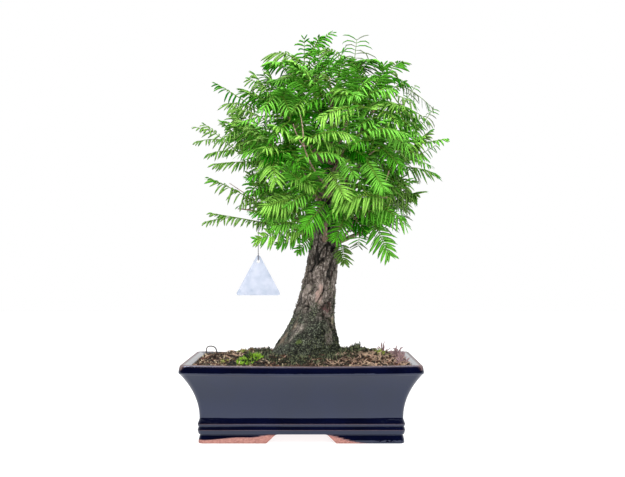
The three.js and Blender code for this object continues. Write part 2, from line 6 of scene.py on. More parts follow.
import bmesh
import bpy
import numpy as np
from bpy.types import Material, Node, NodeSocket, NodeTree, Object
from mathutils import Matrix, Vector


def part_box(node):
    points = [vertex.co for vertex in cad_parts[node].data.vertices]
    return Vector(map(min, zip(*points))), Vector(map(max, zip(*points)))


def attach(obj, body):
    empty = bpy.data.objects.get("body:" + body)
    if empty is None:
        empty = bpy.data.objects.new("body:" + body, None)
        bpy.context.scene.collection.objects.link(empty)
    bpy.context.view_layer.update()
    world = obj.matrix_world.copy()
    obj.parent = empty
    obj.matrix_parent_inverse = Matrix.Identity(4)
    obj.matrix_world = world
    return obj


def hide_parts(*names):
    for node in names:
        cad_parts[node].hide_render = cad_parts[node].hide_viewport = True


# The looks of a dawn redwood bonsai in a glazed oblong pot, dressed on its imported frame.
# Shapes are worked out in millimetres from the middle of the pot's footprint, +Z up, -Y
# towards the viewer and +X to the viewer's right, and become the row's metres in a mesh.

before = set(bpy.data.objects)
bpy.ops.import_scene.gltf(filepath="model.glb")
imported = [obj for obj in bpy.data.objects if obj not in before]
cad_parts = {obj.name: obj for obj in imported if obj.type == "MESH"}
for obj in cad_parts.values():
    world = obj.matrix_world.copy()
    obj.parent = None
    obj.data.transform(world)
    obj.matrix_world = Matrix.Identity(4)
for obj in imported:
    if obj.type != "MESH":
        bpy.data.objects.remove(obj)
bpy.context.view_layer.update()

Array = np.ndarray
Values = np.ndarray | float
log = logging.getLogger("bonsai")

MM = 0.001
CLEAR = 0.3
GOLDEN = 137.50776
UP = np.array([0.0, 0.0, 1.0])
ACROSS = np.array([1.0, 0.0, 0.0])
POT_LOW, POT_HIGH = (np.array(corner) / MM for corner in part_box("pot"))
POT_MIDDLE = np.append((POT_LOW[:2] + POT_HIGH[:2]) / 2, POT_LOW[2])


# Arithmetic of shapes


def unit(vectors: Array) -> Array:
    """Vectors shortened or stretched to length 1."""
    return vectors / np.maximum(np.linalg.norm(vectors, axis=-1, keepdims=True), 1e-9)


def smooth(share: Values) -> Values:
    """A share held between 0 and 1, easing in and out: 3 t squared less 2 t cubed."""
    t = np.clip(share, 0.0, 1.0)
    return t * t * (3 - 2 * t)


def blend(low: Array, high: Array, share: Array) -> Array:
    """The point at a share of the way from low to high."""
    return low + (high - low) * share


def chance(key: Values, turn: Values) -> Values:
    """A share from 0 to 1 that depends only on its two keys: the fraction of a big sine."""
    n = np.sin(key * 127.1 + turn * 311.7) * 43758.5453
    return n - np.floor(n)


def swing(key: Values, turn: Values, full: Values) -> Values:
    """A random step either way, by up to half of the full swing."""
    return full * (chance(key, turn) - 0.5)


def direction(azimuth: float, elevation: float) -> Array:
    """The unit vector at an azimuth from +X and an elevation from level, in degrees."""
    a, e = np.radians(azimuth), np.radians(elevation)
    return np.array([np.cos(e) * np.cos(a), np.cos(e) * np.sin(a), np.sin(e)])


def bow(ends: Sequence[Array], share: Array) -> Array:
    """Points of a quadratic curve: its three points weighted (1-t)^2, 2t(1-t) and t^2."""
    t = np.asarray(share, float)[..., None]
    return (1 - t) ** 2 * ends[0] + 2 * t * (1 - t) * ends[1] + t**2 * ends[2]


def lattice(cells: Array, seed: int) -> Array:
    """A share from 0 to 1 for each whole-number cell: its numbers are multiplied by large
    odd factors, added, and their bits mixed by shifts.

    Args:
        cells: whole numbers of the cells.
        seed: another seed gives another pattern.

    Returns:
        One share for each cell.
    """
    n = cells.astype(np.int64) @ np.array([374761393, 668265263, 2147483647]) + seed * 144665
    n = (n ^ (n >> 13)) * 1274126177
    return ((n ^ (n >> 16)) & 0xFFFFFF) / 0xFFFFFF


def noise(points: Array, size: float | Sequence[float], seed: int = 0) -> Array:
    """Smooth noise from 0 to 1: a random share at each corner of boxes of the given size,
    blended across each box by the eased distance to its corners.

    Args:
        points: places to read, in mm.
        size: edge of a box, or its three edges.
        seed: another seed gives another pattern.

    Returns:
        One share for each point.
    """
    at = points / np.asarray(size, float)
    base = np.floor(at)
    t = smooth(at - base)
    total = np.zeros(points.shape[:-1])
    for corner in range(8):
        off = np.array([corner & 1, corner >> 1 & 1, corner >> 2 & 1])
        total += np.prod(np.where(off, t, 1 - t), axis=-1) * lattice(base + off, seed)
    return total


def ragged(points: Array, size: float, seed: int, octaves: int = 3) -> Array:
    """Noise with finer noise on it: each octave has half the size and half the weight."""
    steps = [noise(points, size / 2**k, seed + k) / 2**k for k in range(octaves)]
    return sum(steps) / sum(1 / 2**k for k in range(octaves))


def furrow(share: Array, width: float) -> Array:
    """1 along the lines where a noise passes one half, falling to 0 at the width."""
    return smooth(1 - np.abs(2 * share - 1) / width)


# Meshes


@dataclass
class Surface:
    """Points in mm with the faces between them, and shares that the points carry."""

    points: Array
    quads: Array = field(default_factory=lambda: np.zeros((0, 4), int))
    triangles: Array = field(default_factory=lambda: np.zeros((0, 3), int))
    shares: dict[str, Array] = field(default_factory=dict)
    under: Array | None = None


def joined(parts: Sequence[Surface]) -> Surface:
    """One surface of several, their face numbers moved on by the points before them.

    Args:
        parts: surfaces that carry the same shares.

    Returns:
        The joined surface.
    """
    starts = np.cumsum([0] + [len(p.points) for p in parts[:-1]])
    names = parts[0].shares.keys()
    has_under = all(p.under is not None for p in parts)
    return Surface(
        np.concatenate([p.points for p in parts]),
        np.concatenate([p.quads + s for p, s in zip(parts, starts)]),
        np.concatenate([p.triangles + s for p, s in zip(parts, starts)]),
        {n: np.concatenate([p.shares[n] for p in parts]) for n in names},
        np.concatenate([p.under for p in parts]) if has_under else None,
    )


def grid_faces(rows: int, columns: int, round_closed: bool) -> Array:
    """Quads of a grid of rows by columns, its last column joined to its first if closed.

    Args:
        rows: places one way.
        columns: places the other way.
        round_closed: True where the last column joins the first.

    Returns:
        Four point numbers for each face.
    """
    i = np.arange(rows - 1)[:, None]
    j = np.arange(columns if round_closed else columns - 1)[None, :]
    k = (j + 1) % columns
    corners = [i * columns + j, i * columns + k, (i + 1) * columns + k, (i + 1) * columns + j]
    return np.stack([np.broadcast_to(c, (i.size, j.size)) for c in corners], -1).reshape(-1, 4)


def ring_stack(rings: Array, low: Array, high: Array) -> Surface:
    """A closed surface of stacked rings, ended by a point under the first ring and a point
    over the last. Rings run anticlockwise seen from the end.

    Args:
        rings: points as (ring, place on it, xyz).
        low: the point that closes the start.
        high: the point that closes the end.

    Returns:
        The surface, its two end points last.
    """
    rows, columns = rings.shape[:2]
    points = np.concatenate([rings.reshape(-1, 3), [low, high]])
    j = np.arange(columns)
    k = (j + 1) % columns
    last = (rows - 1) * columns
    foot = np.stack([np.full(columns, rows * columns), k, j], -1)
    head = np.stack([np.full(columns, rows * columns + 1), last + j, last + k], -1)
    return Surface(points, grid_faces(rows, columns, True), np.concatenate([foot, head]))


def tubes(paths: Array, radii: Array, sides: int) -> Surface:
    """Round limbs: at each place of each path a ring of the given sides stands square to
    the path, and flat ends close it.

    Args:
        paths: centre lines as (limb, place, xyz), in mm.
        radii: radius as (limb, place), in mm.
        sides: corners of a ring.

    Returns:
        All limbs as one surface.
    """
    count, places = paths.shape[:2]
    along = unit(np.gradient(paths, axis=1))
    upright = np.abs(unit(paths[:, -1] - paths[:, 0])[:, 2]) > 0.8
    guide = np.where(upright[:, None], ACROSS, UP)[:, None, :]
    normal = unit(np.cross(along, guide))
    other = np.cross(along, normal)
    turn = np.arange(sides) / sides * 2 * np.pi
    out = (
        normal[:, :, None, :] * np.cos(turn)[:, None] + other[:, :, None, :] * np.sin(turn)[:, None]
    )
    points = (paths[:, :, None, :] + radii[:, :, None, None] * out).reshape(-1, 3)
    start = (np.arange(count) * places * sides)[:, None, None]
    quads = (grid_faces(places, sides, True)[None] + start).reshape(-1, 4)
    j = np.arange(1, sides - 1)
    foot = np.stack([np.zeros_like(j), j + 1, j], -1)
    head = np.stack([np.zeros_like(j), j, j + 1], -1) + (places - 1) * sides
    return Surface(points, quads, (np.concatenate([foot, head])[None] + start).reshape(-1, 3))


BLADE_WIDTHS = np.array([0.36, 0.92, 1.0, 0.74])
BLADE_FACES = np.array(
    [[3 * i + a, 3 * i + b, 3 * i + c + 3] for i in range(3) for a, b, c in
     [(0, 1, 1), (1, 2, 2), (2, 0, 0)]]
    + [[3 * i + a, 3 * i + b + 3, 3 * i + a + 3] for i in range(3) for a, b in
       [(0, 1), (1, 2), (2, 0)]]
    + [[9, 10, 12], [10, 11, 12], [11, 9, 12], [0, 2, 1]]
)
BLADE_UNDER = np.array([False, True, True] * 3 + [False, True, True] * 3 + [False, True, True, True])


def blades(centres: Array, plane: Array, width: Array, thick: float) -> Surface:
    """Closed three-sided blades with a flat upper face and a keel under it, narrow at the
    root, widest past the middle and drawn to a point.

    Args:
        centres: each blade's middle line as (blade, 5 places, xyz), in mm.
        plane: a direction for each blade that its flat face holds.
        width: full width of each blade, in mm.
        thick: depth of the keel as a share of the width.

    Returns:
        All blades as one surface, with the faces of their undersides marked.
    """
    along = unit(np.gradient(centres, axis=1)[:, :4])
    held = plane[:, None, :]
    side = unit(held - np.sum(held * along, -1, keepdims=True) * along)
    face = np.cross(side, along)
    flip = np.where(face[:, 1:2, 2:] < 0, -1.0, 1.0)
    side, face = side * flip, face * flip
    half = (width[:, None] * BLADE_WIDTHS / 2)[..., None]
    rings = np.stack(
        [
            centres[:, :4] - side * half,
            centres[:, :4] + side * half,
            centres[:, :4] - face * half * 2 * thick,
        ],
        2,
    ).reshape(len(centres), 12, 3)
    points = np.concatenate([rings, centres[:, 4:5]], 1).reshape(-1, 3)
    start = (np.arange(len(centres)) * 13)[:, None, None]
    triangles = (BLADE_FACES[None] + start).reshape(-1, 3)
    return Surface(points, triangles=triangles, under=np.tile(BLADE_UNDER, len(centres)))


def make_piece(
    name: str,
    surface: Surface,
    finish: Material,
    stands_for: Sequence[str] = (),
    underside: Material | None = None,
    soft_edges: float | None = None,
) -> None:
    """Puts a surface into the scene as one piece of the bonsai.

    Args:
        name: the piece's name.
        surface: its points, in mm from the pot's middle, and faces.
        finish: its material.
        stands_for: solids of the frame that it replaces.
        underside: the material of the marked undersides, if they have their own.
        soft_edges: angle in degrees under which edges are drawn round, or None for all.
    """
    mesh = bpy.data.meshes.new(name)
    corners = np.concatenate([surface.quads.ravel(), surface.triangles.ravel()])
    sizes = np.repeat([4, 3], [len(surface.quads), len(surface.triangles)])
    mesh.vertices.add(len(surface.points))
    mesh.vertices.foreach_set("co", ((surface.points + POT_MIDDLE) * MM).ravel())
    mesh.loops.add(len(corners))
    mesh.loops.foreach_set("vertex_index", corners.astype(np.int32))
    mesh.polygons.add(len(sizes))
    mesh.polygons.foreach_set("loop_start", (np.cumsum(sizes) - sizes).astype(np.int32))
    mesh.update(calc_edges=True)
    mesh.polygons.foreach_set("use_smooth", np.ones(len(sizes), bool))
    for share, values in surface.shares.items():
        attribute = mesh.attributes.new(share, "FLOAT", "POINT")
        attribute.data.foreach_set("value", values.astype(np.float32))
    mesh.materials.append(finish)
    if underside:
        mesh.materials.append(underside)
        mesh.polygons.foreach_set("material_index", surface.under.astype(np.int32))
    if soft_edges is not None:
        mesh.set_sharp_from_angle(angle=np.radians(soft_edges))
    piece = bpy.data.objects.new(name, mesh)
    bpy.context.scene.collection.objects.link(piece)
    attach(piece, "root")
    if stands_for:
        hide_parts(*stands_for)
    log.info("%s: %d triangles", name, 2 * len(surface.quads) + len(surface.triangles))


# Finishes


def linear(code: str) -> tuple[float, float, float, float]:
    """A colour's sRGB hex code as the linear numbers that a shader takes."""
    parts = [int(code[i : i + 2], 16) / 255 for i in (1, 3, 5)]
    return (*(c / 12.92 if c <= 0.04045 else ((c + 0.055) / 1.055) ** 2.4 for c in parts), 1.0)


def feed(node: Node, inputs: dict[str | int, object]) -> None:
    """Gives inputs of a node their links, colours or numbers.

    Args:
        node: a node in its tree.
        inputs: a socket to link from, an sRGB code or a value, for each by name or number.
    """
    for name, value in inputs.items():
        if isinstance(value, NodeSocket):
            node.id_data.links.new(value, node.inputs[name])
        else:
            value = linear(value) if isinstance(value, str) else value
            node.inputs[name].default_value = value


def add_node(tree: NodeTree, kind: str, inputs: dict[str | int, object] | None = None,
             stops: Sequence[tuple[float, str]] = (), **settings: object) -> Node:
    """Adds one node with its settings and links.

    Args:
        tree: the node tree of a material or of the world.
        kind: the node's type.
        inputs: what its inputs get, as feed takes it.
        stops: places and sRGB codes of a colour ramp.
        settings: the node's own settings.

    Returns:
        The new node.
    """
    node = tree.nodes.new(kind)
    for name, value in settings.items():
        setattr(node, name, value)
    feed(node, inputs or {})
    for number, (place, code) in enumerate(stops):
        if number >= len(node.color_ramp.elements):
            node.color_ramp.elements.new(place)
        node.color_ramp.elements[number].position = place
        node.color_ramp.elements[number].color = linear(code)
    return node


Grains = tuple[tuple[str, float, float, float, float], ...]
Ramps = tuple[tuple[str, str, tuple[tuple[float, str], ...]], ...]
Layers = tuple[tuple[str, str], ...]


@dataclass(frozen=True)
class Finish:
    """Plain values on one shader, and a pattern. Its grains are noises: name, width in mm,
    detail, roughness, and how far each is drawn out upwards. A ramp colours a grain. A layer
    lays a ramp or an sRGB code over the colour beneath, by a share that is a grain, a ramp
    or what the mesh's points carry. The bump names its height and its depth in mm. As it
    stands, a speckle of 4 mm moves the colour's brightness."""

    name: str
    colour: str
    roughness: float
    ior: float = 1.5
    grains: Grains = (("cloud", 4.0, 3.0, 0.5, 1.0),)
    ramps: Ramps = ()
    layers: Layers = ()
    bump: tuple[str, float] | None = None

    def dress(self) -> Material:
        """Makes the material: plain values go on its shader's own sockets, and the noises
        read object coordinates.

        Returns:
            The material.
        """
        material = bpy.data.materials.new(self.name)
        material.use_nodes = True
        material.diffuse_color = linear(self.colour)
        tree = material.node_tree
        shader = tree.nodes["Principled BSDF"]
        feed(shader, {"Base Color": self.colour, "Roughness": self.roughness, "IOR": self.ior})
        if not self.grains:
            return material
        place = add_node(tree, "ShaderNodeTexCoord").outputs["Object"]
        made = {}
        for name, width, detail, rough, drawn in self.grains:
            vector = place
            if drawn > 1:
                inputs = {"Vector": place, "Scale": (1, 1, 1 / drawn)}
                vector = add_node(tree, "ShaderNodeMapping", inputs).outputs["Vector"]
            inputs = {"Vector": vector, "Scale": 1 / (width * MM), "Detail": detail, "Roughness": rough}
            made[name] = add_node(tree, "ShaderNodeTexNoise", inputs).outputs["Fac"]
        for name, grain, stops in self.ramps:
            ramp = add_node(tree, "ShaderNodeValToRGB", {"Fac": made[grain]}, stops)
            made[name] = ramp.outputs["Color"]
        colour = self.ground(tree, made)
        for share, over in self.layers:
            if share not in made:
                points = add_node(tree, "ShaderNodeAttribute", attribute_name=share)
                made[share] = points.outputs["Fac"]
            inputs = {0: made[share], 6: colour, 7: made.get(over, over)}
            colour = add_node(tree, "ShaderNodeMix", inputs, data_type="RGBA").outputs[2]
        feed(shader, {"Base Color": colour})
        if self.bump:
            height, depth = self.bump
            inputs = {"Height": made[height], "Distance": depth * MM, "Strength": 1.0}
            feed(shader, {"Normal": add_node(tree, "ShaderNodeBump", inputs).outputs["Normal"]})
        return material

    def ground(self, tree: NodeTree, made: dict[str, NodeSocket]) -> NodeSocket:
        """The colour beneath the layers, and whatever else a finish makes of its grains.

        Args:
            tree: the material's node tree.
            made: the outputs of grains and ramps by name, which it may add to.

        Returns:
            The first ramp's colour, or else the plain one with its speckle.
        """
        if self.ramps:
            return made[self.ramps[0][0]]
        inputs = {"Value": made["cloud"], "To Min": 0.75, "To Max": 1.25}
        light = add_node(tree, "ShaderNodeMapRange", inputs).outputs["Result"]
        inputs = {"Color": self.colour, "Value": light}
        return add_node(tree, "ShaderNodeHueSaturation", inputs).outputs["Color"]


@dataclass(frozen=True)
class CobaltGlaze(Finish):
    """Stoneware dipped in a dark cobalt glaze and fired glossy: a deep, wet blue-black that
    mirrors the room. It thins to brown-grey on edges, and the foot is wiped bare. It pools
    over 30 mm, the clay's pores are 1.6 mm wide and the glaze's runs 4.5 mm."""

    name: str = "cobalt glaze on stoneware"
    colour: str = "#02041a"
    roughness: float = 0.06
    ior: float = 1.75
    grains: Grains = (
        ("pools", 30.0, 0.0, 0.5, 1.0), ("pores", 1.6, 2.0, 0.5, 1.0), ("waves", 4.5, 1.0, 0.5, 1.0),
    )
    ramps: Ramps = (
        ("deep", "pools", ((0.3, "#010213"), (0.7, "#02041b"))),
        ("clay", "pores", ((0.3, "#7c4f45"), (0.7, "#a8786c"))),
    )
    layers: Layers = (("worn", "#80655c"), ("bare", "clay"))
    bump: tuple[str, float] | None = ("height", 0.12)
    matt: float = 0.85
    cool: str = "#c8d3f1"

    def ground(self, tree: NodeTree, made: dict[str, NodeSocket]) -> NodeSocket:
        """Worn edges and bare clay lose their gloss, and the runs lift the surface.

        Args:
            tree: the material's node tree.
            made: the outputs of grains and ramps, to which worn, bare and height are added.

        Returns:
            The colour of the pooled glaze.
        """
        edge, bare, runs = (
            add_node(tree, "ShaderNodeAttribute", attribute_name=name).outputs["Fac"]
            for name in ("edge", "bare", "runs")
        )
        inputs = {0: edge, 1: made["pores"]}
        worn = add_node(tree, "ShaderNodeMath", inputs, operation="MULTIPLY").outputs[0]
        dull = add_node(tree, "ShaderNodeMath", {0: worn, 1: bare}, operation="MAXIMUM").outputs[0]
        inputs = {"Value": dull, "To Min": self.roughness, "To Max": self.matt}
        rough = add_node(tree, "ShaderNodeMapRange", inputs).outputs["Result"]
        feed(tree.nodes["Principled BSDF"], {"Roughness": rough, "Specular Tint": self.cool})
        inputs = {0: made["waves"], 1: runs, 2: made["pools"]}
        height = add_node(tree, "ShaderNodeMath", inputs, operation="MULTIPLY_ADD").outputs[0]
        made.update(worn=worn, bare=bare, height=height)
        return made["deep"]


@dataclass(frozen=True)
class Bark(Finish):
    """Old bark of a dawn redwood: dull grey-brown strips between furrows, with moss on
    the lower half and a few pale and red patches where strips have peeled off. The furrows,
    cracks and pits between moss bumps carry painted shade, near black. Its fibres are drawn
    2.3 mm wide, as coarse as it takes to show them."""

    name: str = "fibrous redwood bark"
    colour: str = "#6b6058"
    roughness: float = 0.88
    grains: Grains = (
        ("fibre", 2.3, 4.0, 0.75, 2.4), ("grit", 1.5, 2.0, 0.5, 1.0), ("broad", 14.0, 2.0, 0.5, 1.0),
        ("patch", 30.0, 2.0, 0.5, 1.0),
    )
    ramps: Ramps = (
        ("strips", "fibre", ((0.4, "#1a1512"), (0.5, "#695e56"), (0.61, "#cdc1b8"))),
        ("dull", "broad", ((0.42, "#423a34"), (0.58, "#8b8078"))),
        ("tufts", "grit", ((0.4, "#070906"), (0.52, "#22261c"), (0.66, "#7f8672"))),
    )
    # the last layer, furrow, is painted shade: near black down the furrows and cracks and between moss
    # bumps
    layers: Layers = (
        ("patch", "dull"), ("warm", "#a08a76"), ("peel", "#b89c92"), ("maroon", "#5f3236"),
        ("cream", "#b9aa92"), ("moss", "tufts"), ("lush", "#52661f"), ("furrow", "#12100d"),
    )
    bump: tuple[str, float] | None = ("fibre", 1.3)


@dataclass(frozen=True)
class YoungBark(Finish):
    """Bark of boughs: thin, red-brown and flaky, with grey between its flakes of 2.6 mm."""

    name: str = "young redwood bark"
    colour: str = "#76584a"
    roughness: float = 0.8
    grains: Grains = (("flake", 2.6, 4.0, 0.65, 1.0),)
    ramps: Ramps = (("brown", "flake", ((0.32, "#3f3029"), (0.5, "#80695a"), (0.7, "#b39c89"))),)
    bump: tuple[str, float] | None = ("flake", 0.5)


@dataclass(frozen=True)
class Needle(Finish):
    """Living needles: a thin waxy skin over soft green, so a plain colour with a low sheen.
    Each tone is one plain colour, dealt out by spray."""

    roughness: float = 0.5
    ior: float = 1.28
    grains: Grains = ()


@dataclass(frozen=True)
class PottingSoil(Finish):
    """Granular soil under moss and dead needles: crumbs of 3 mm from grey to red-brown, in
    patches of 16 mm, with painted shade near black between them."""

    name: str = "mossy potting soil"
    colour: str = "#5a4a3a"
    roughness: float = 0.95
    grains: Grains = (("crumbs", 3.0, 3.0, 0.7, 1.0), ("patches", 16.0, 2.0, 0.5, 1.0))
    # the ramps' near-black low ends fall in the crumbs' bump hollows: painted shade between the crumbs
    ramps: Ramps = (
        ("grey", "crumbs", ((0.43, "#060403"), (0.53, "#17120c"), (0.66, "#6f6149"))),
        ("red", "crumbs", ((0.43, "#0a0604"), (0.53, "#281910"), (0.66, "#86644e"))),
        ("tufts", "crumbs", ((0.42, "#050604"), (0.52, "#191d11"), (0.66, "#4f5438"))),
        ("split", "patches", ((0.45, "#000000"), (0.6, "#ffffff"))),
    )
    layers: Layers = (("split", "red"), ("moss", "tufts"), ("gold", "#7d8a3a"))
    bump: tuple[str, float] | None = ("crumbs", 1.2)


@dataclass(frozen=True)
class TagPlastic(Finish):
    """A die-cut tag of milky, slightly see-through plastic: white with a cool tinge and a
    soft gloss, faintly cloudy over 9 mm."""

    name: str = "milky tag plastic"
    colour: str = "#e4ebf5"
    roughness: float = 0.3
    grains: Grains = (("cloud", 9.0, 2.0, 0.5, 1.0),)
    ramps: Ramps = (("milk", "cloud", ((0.3, "#9fa8b9"), (0.7, "#b5bac8"))),)
    bump: tuple[str, float] | None = ("cloud", 0.15)
    gloss: tuple[float, float] = (0.22, 0.4)

    def ground(self, tree: NodeTree, made: dict[str, NodeSocket]) -> NodeSocket:
        """Milky white, its gloss broken by the cloud.

        Args:
            tree: the material's node tree.
            made: the outputs of grains and ramps by name.

        Returns:
            The milky colour.
        """
        inputs = {"Value": made["cloud"], "To Min": self.gloss[0], "To Max": self.gloss[1]}
        rough = add_node(tree, "ShaderNodeMapRange", inputs).outputs["Result"]
        feed(tree.nodes["Principled BSDF"], {"Roughness": rough})
        return made["milk"]


# Trunk, boughs and crown, by the same rule and the same named sizes as the solids


@dataclass(frozen=True)
class TrunkLine:
    """Where the trunk's middle runs and how thick it is."""

    crest: float = 108.0
    foot: float = 108.3
    tip: float = 432.0
    flare: float = 28.0
    flare_fall: float = 41.0
    radius: float = 20.0
    thins_from: float = 215.0
    foot_x: float = 3.5
    lean: float = 0.24
    rightens: float = 0.0004
    ribs: float = 0.075

    def centre(self, z: Values) -> Array:
        """The middle of the trunk: a lean that rights itself with the square of height, and
        a slow sway in depth.

        Args:
            z: heights in mm.

        Returns:
            A point for each height.
        """
        up = np.asarray(z, float) - self.crest
        x = self.foot_x + self.lean * up - self.rightens * up * up
        return np.stack([x, 2.2 * np.sin(up / 47 + 0.6), np.asarray(z, float)], -1)

    def thickness(self, z: Values) -> Values:
        """Radius: steady, easing thinner to the tip, plus a root flare that falls off
        exponentially.

        Args:
            z: heights in mm.

        Returns:
            A radius for each height.
        """
        up = np.maximum(np.asarray(z, float) - self.crest, 0.0)
        thin = smooth((z - self.thins_from) / (self.tip - self.thins_from))
        flare = self.flare * np.exp(-((up / self.flare_fall) ** 1.4))
        return self.radius * (1 - 0.85 * thin) + flare

    def lobes(self, z: Array, angle: Array) -> Array:
        """How far the roots swell out round the foot: two cosines that fade upwards, a slow
        twist, and five ribs of old bark that wander as they climb.

        Args:
            z: heights in mm.
            angle: angles round the trunk in radians.

        Returns:
            A factor for each radius.
        """
        low = np.exp(-(z - self.crest) / 38)
        swell = 0.1 * np.cos(3 * angle + 0.5) + 0.06 * np.cos(5 * angle - 1.1)
        wander = 5 * angle + 1.6 * np.sin(z / 41) + 2.2
        ribs = self.ribs * np.cos(wander) * (0.7 + 0.3 * np.sin(z / 13 + 2 * angle))
        return 1 + low * swell + 0.035 * np.sin(2 * angle + z / 26) + ribs


@dataclass(frozen=True)
class BoughRing:
    """A ring of boughs: how many, where the first points, how steeply, the height they
    leave the trunk at, their share of the way out, thickness and arch."""

    name: str
    count: int
    first: float
    elevation: float
    root: float
    share: float
    thick: float
    arch: float


BOUGH_RINGS = (
    BoughRing("low", 4, -2, -49, 258, 0.46, 4.6, 16),
    BoughRing("skirt", 6, 194, -30, 276, 0.55, 4.8, 6),
    BoughRing("middle", 8, 180, 5, 312, 0.42, 4.4, 8),
    BoughRing("shoulder", 6, 0, 38, 352, 0.42, 3.6, 4),
    BoughRing("top", 2, 12, 68, 396, 0.4, 2.6, 0),
)


@dataclass
class Place:
    """One mass of the crown: its bough, its aim and the middle of its cell."""

    key: int
    ring: BoughRing | None
    number: int
    root: Array
    through: Array
    tip: Array
    aim: Array
    balls: Array = field(default_factory=lambda: np.zeros((0, 3)))
    thick: Array = field(default_factory=lambda: np.zeros(0))
    site: Array = field(default_factory=lambda: np.zeros(3))
    way: Array = field(default_factory=lambda: UP)


@dataclass(frozen=True)
class Form:
    """A rounded form round the crown's centre: its reach seen from the front and in depth,
    and its bulges: angle seen from the front, extra reach and half width."""

    reach: float
    depth: float
    bulges: tuple[tuple[float, float, float], ...]

    def far(self, way: Array) -> Array:
        """The reach seen from the front with its bulges, each a bell curve, blended to the
        depth's by the fourth power of the sideways part.

        Args:
            way: unit directions.

        Returns:
            A reach in mm for each direction.
        """
        angle = np.degrees(np.arctan2(way[..., 2], way[..., 0]))
        seen = np.full(way.shape[:-1], self.reach)
        for at, extra, width in self.bulges:
            off = (angle - at + 540) % 360 - 180
            seen = seen + extra * np.exp(-((off / width) ** 2))
        across = way[..., 0] ** 2 + way[..., 2] ** 2
        return blend(self.depth, seen, across**2)


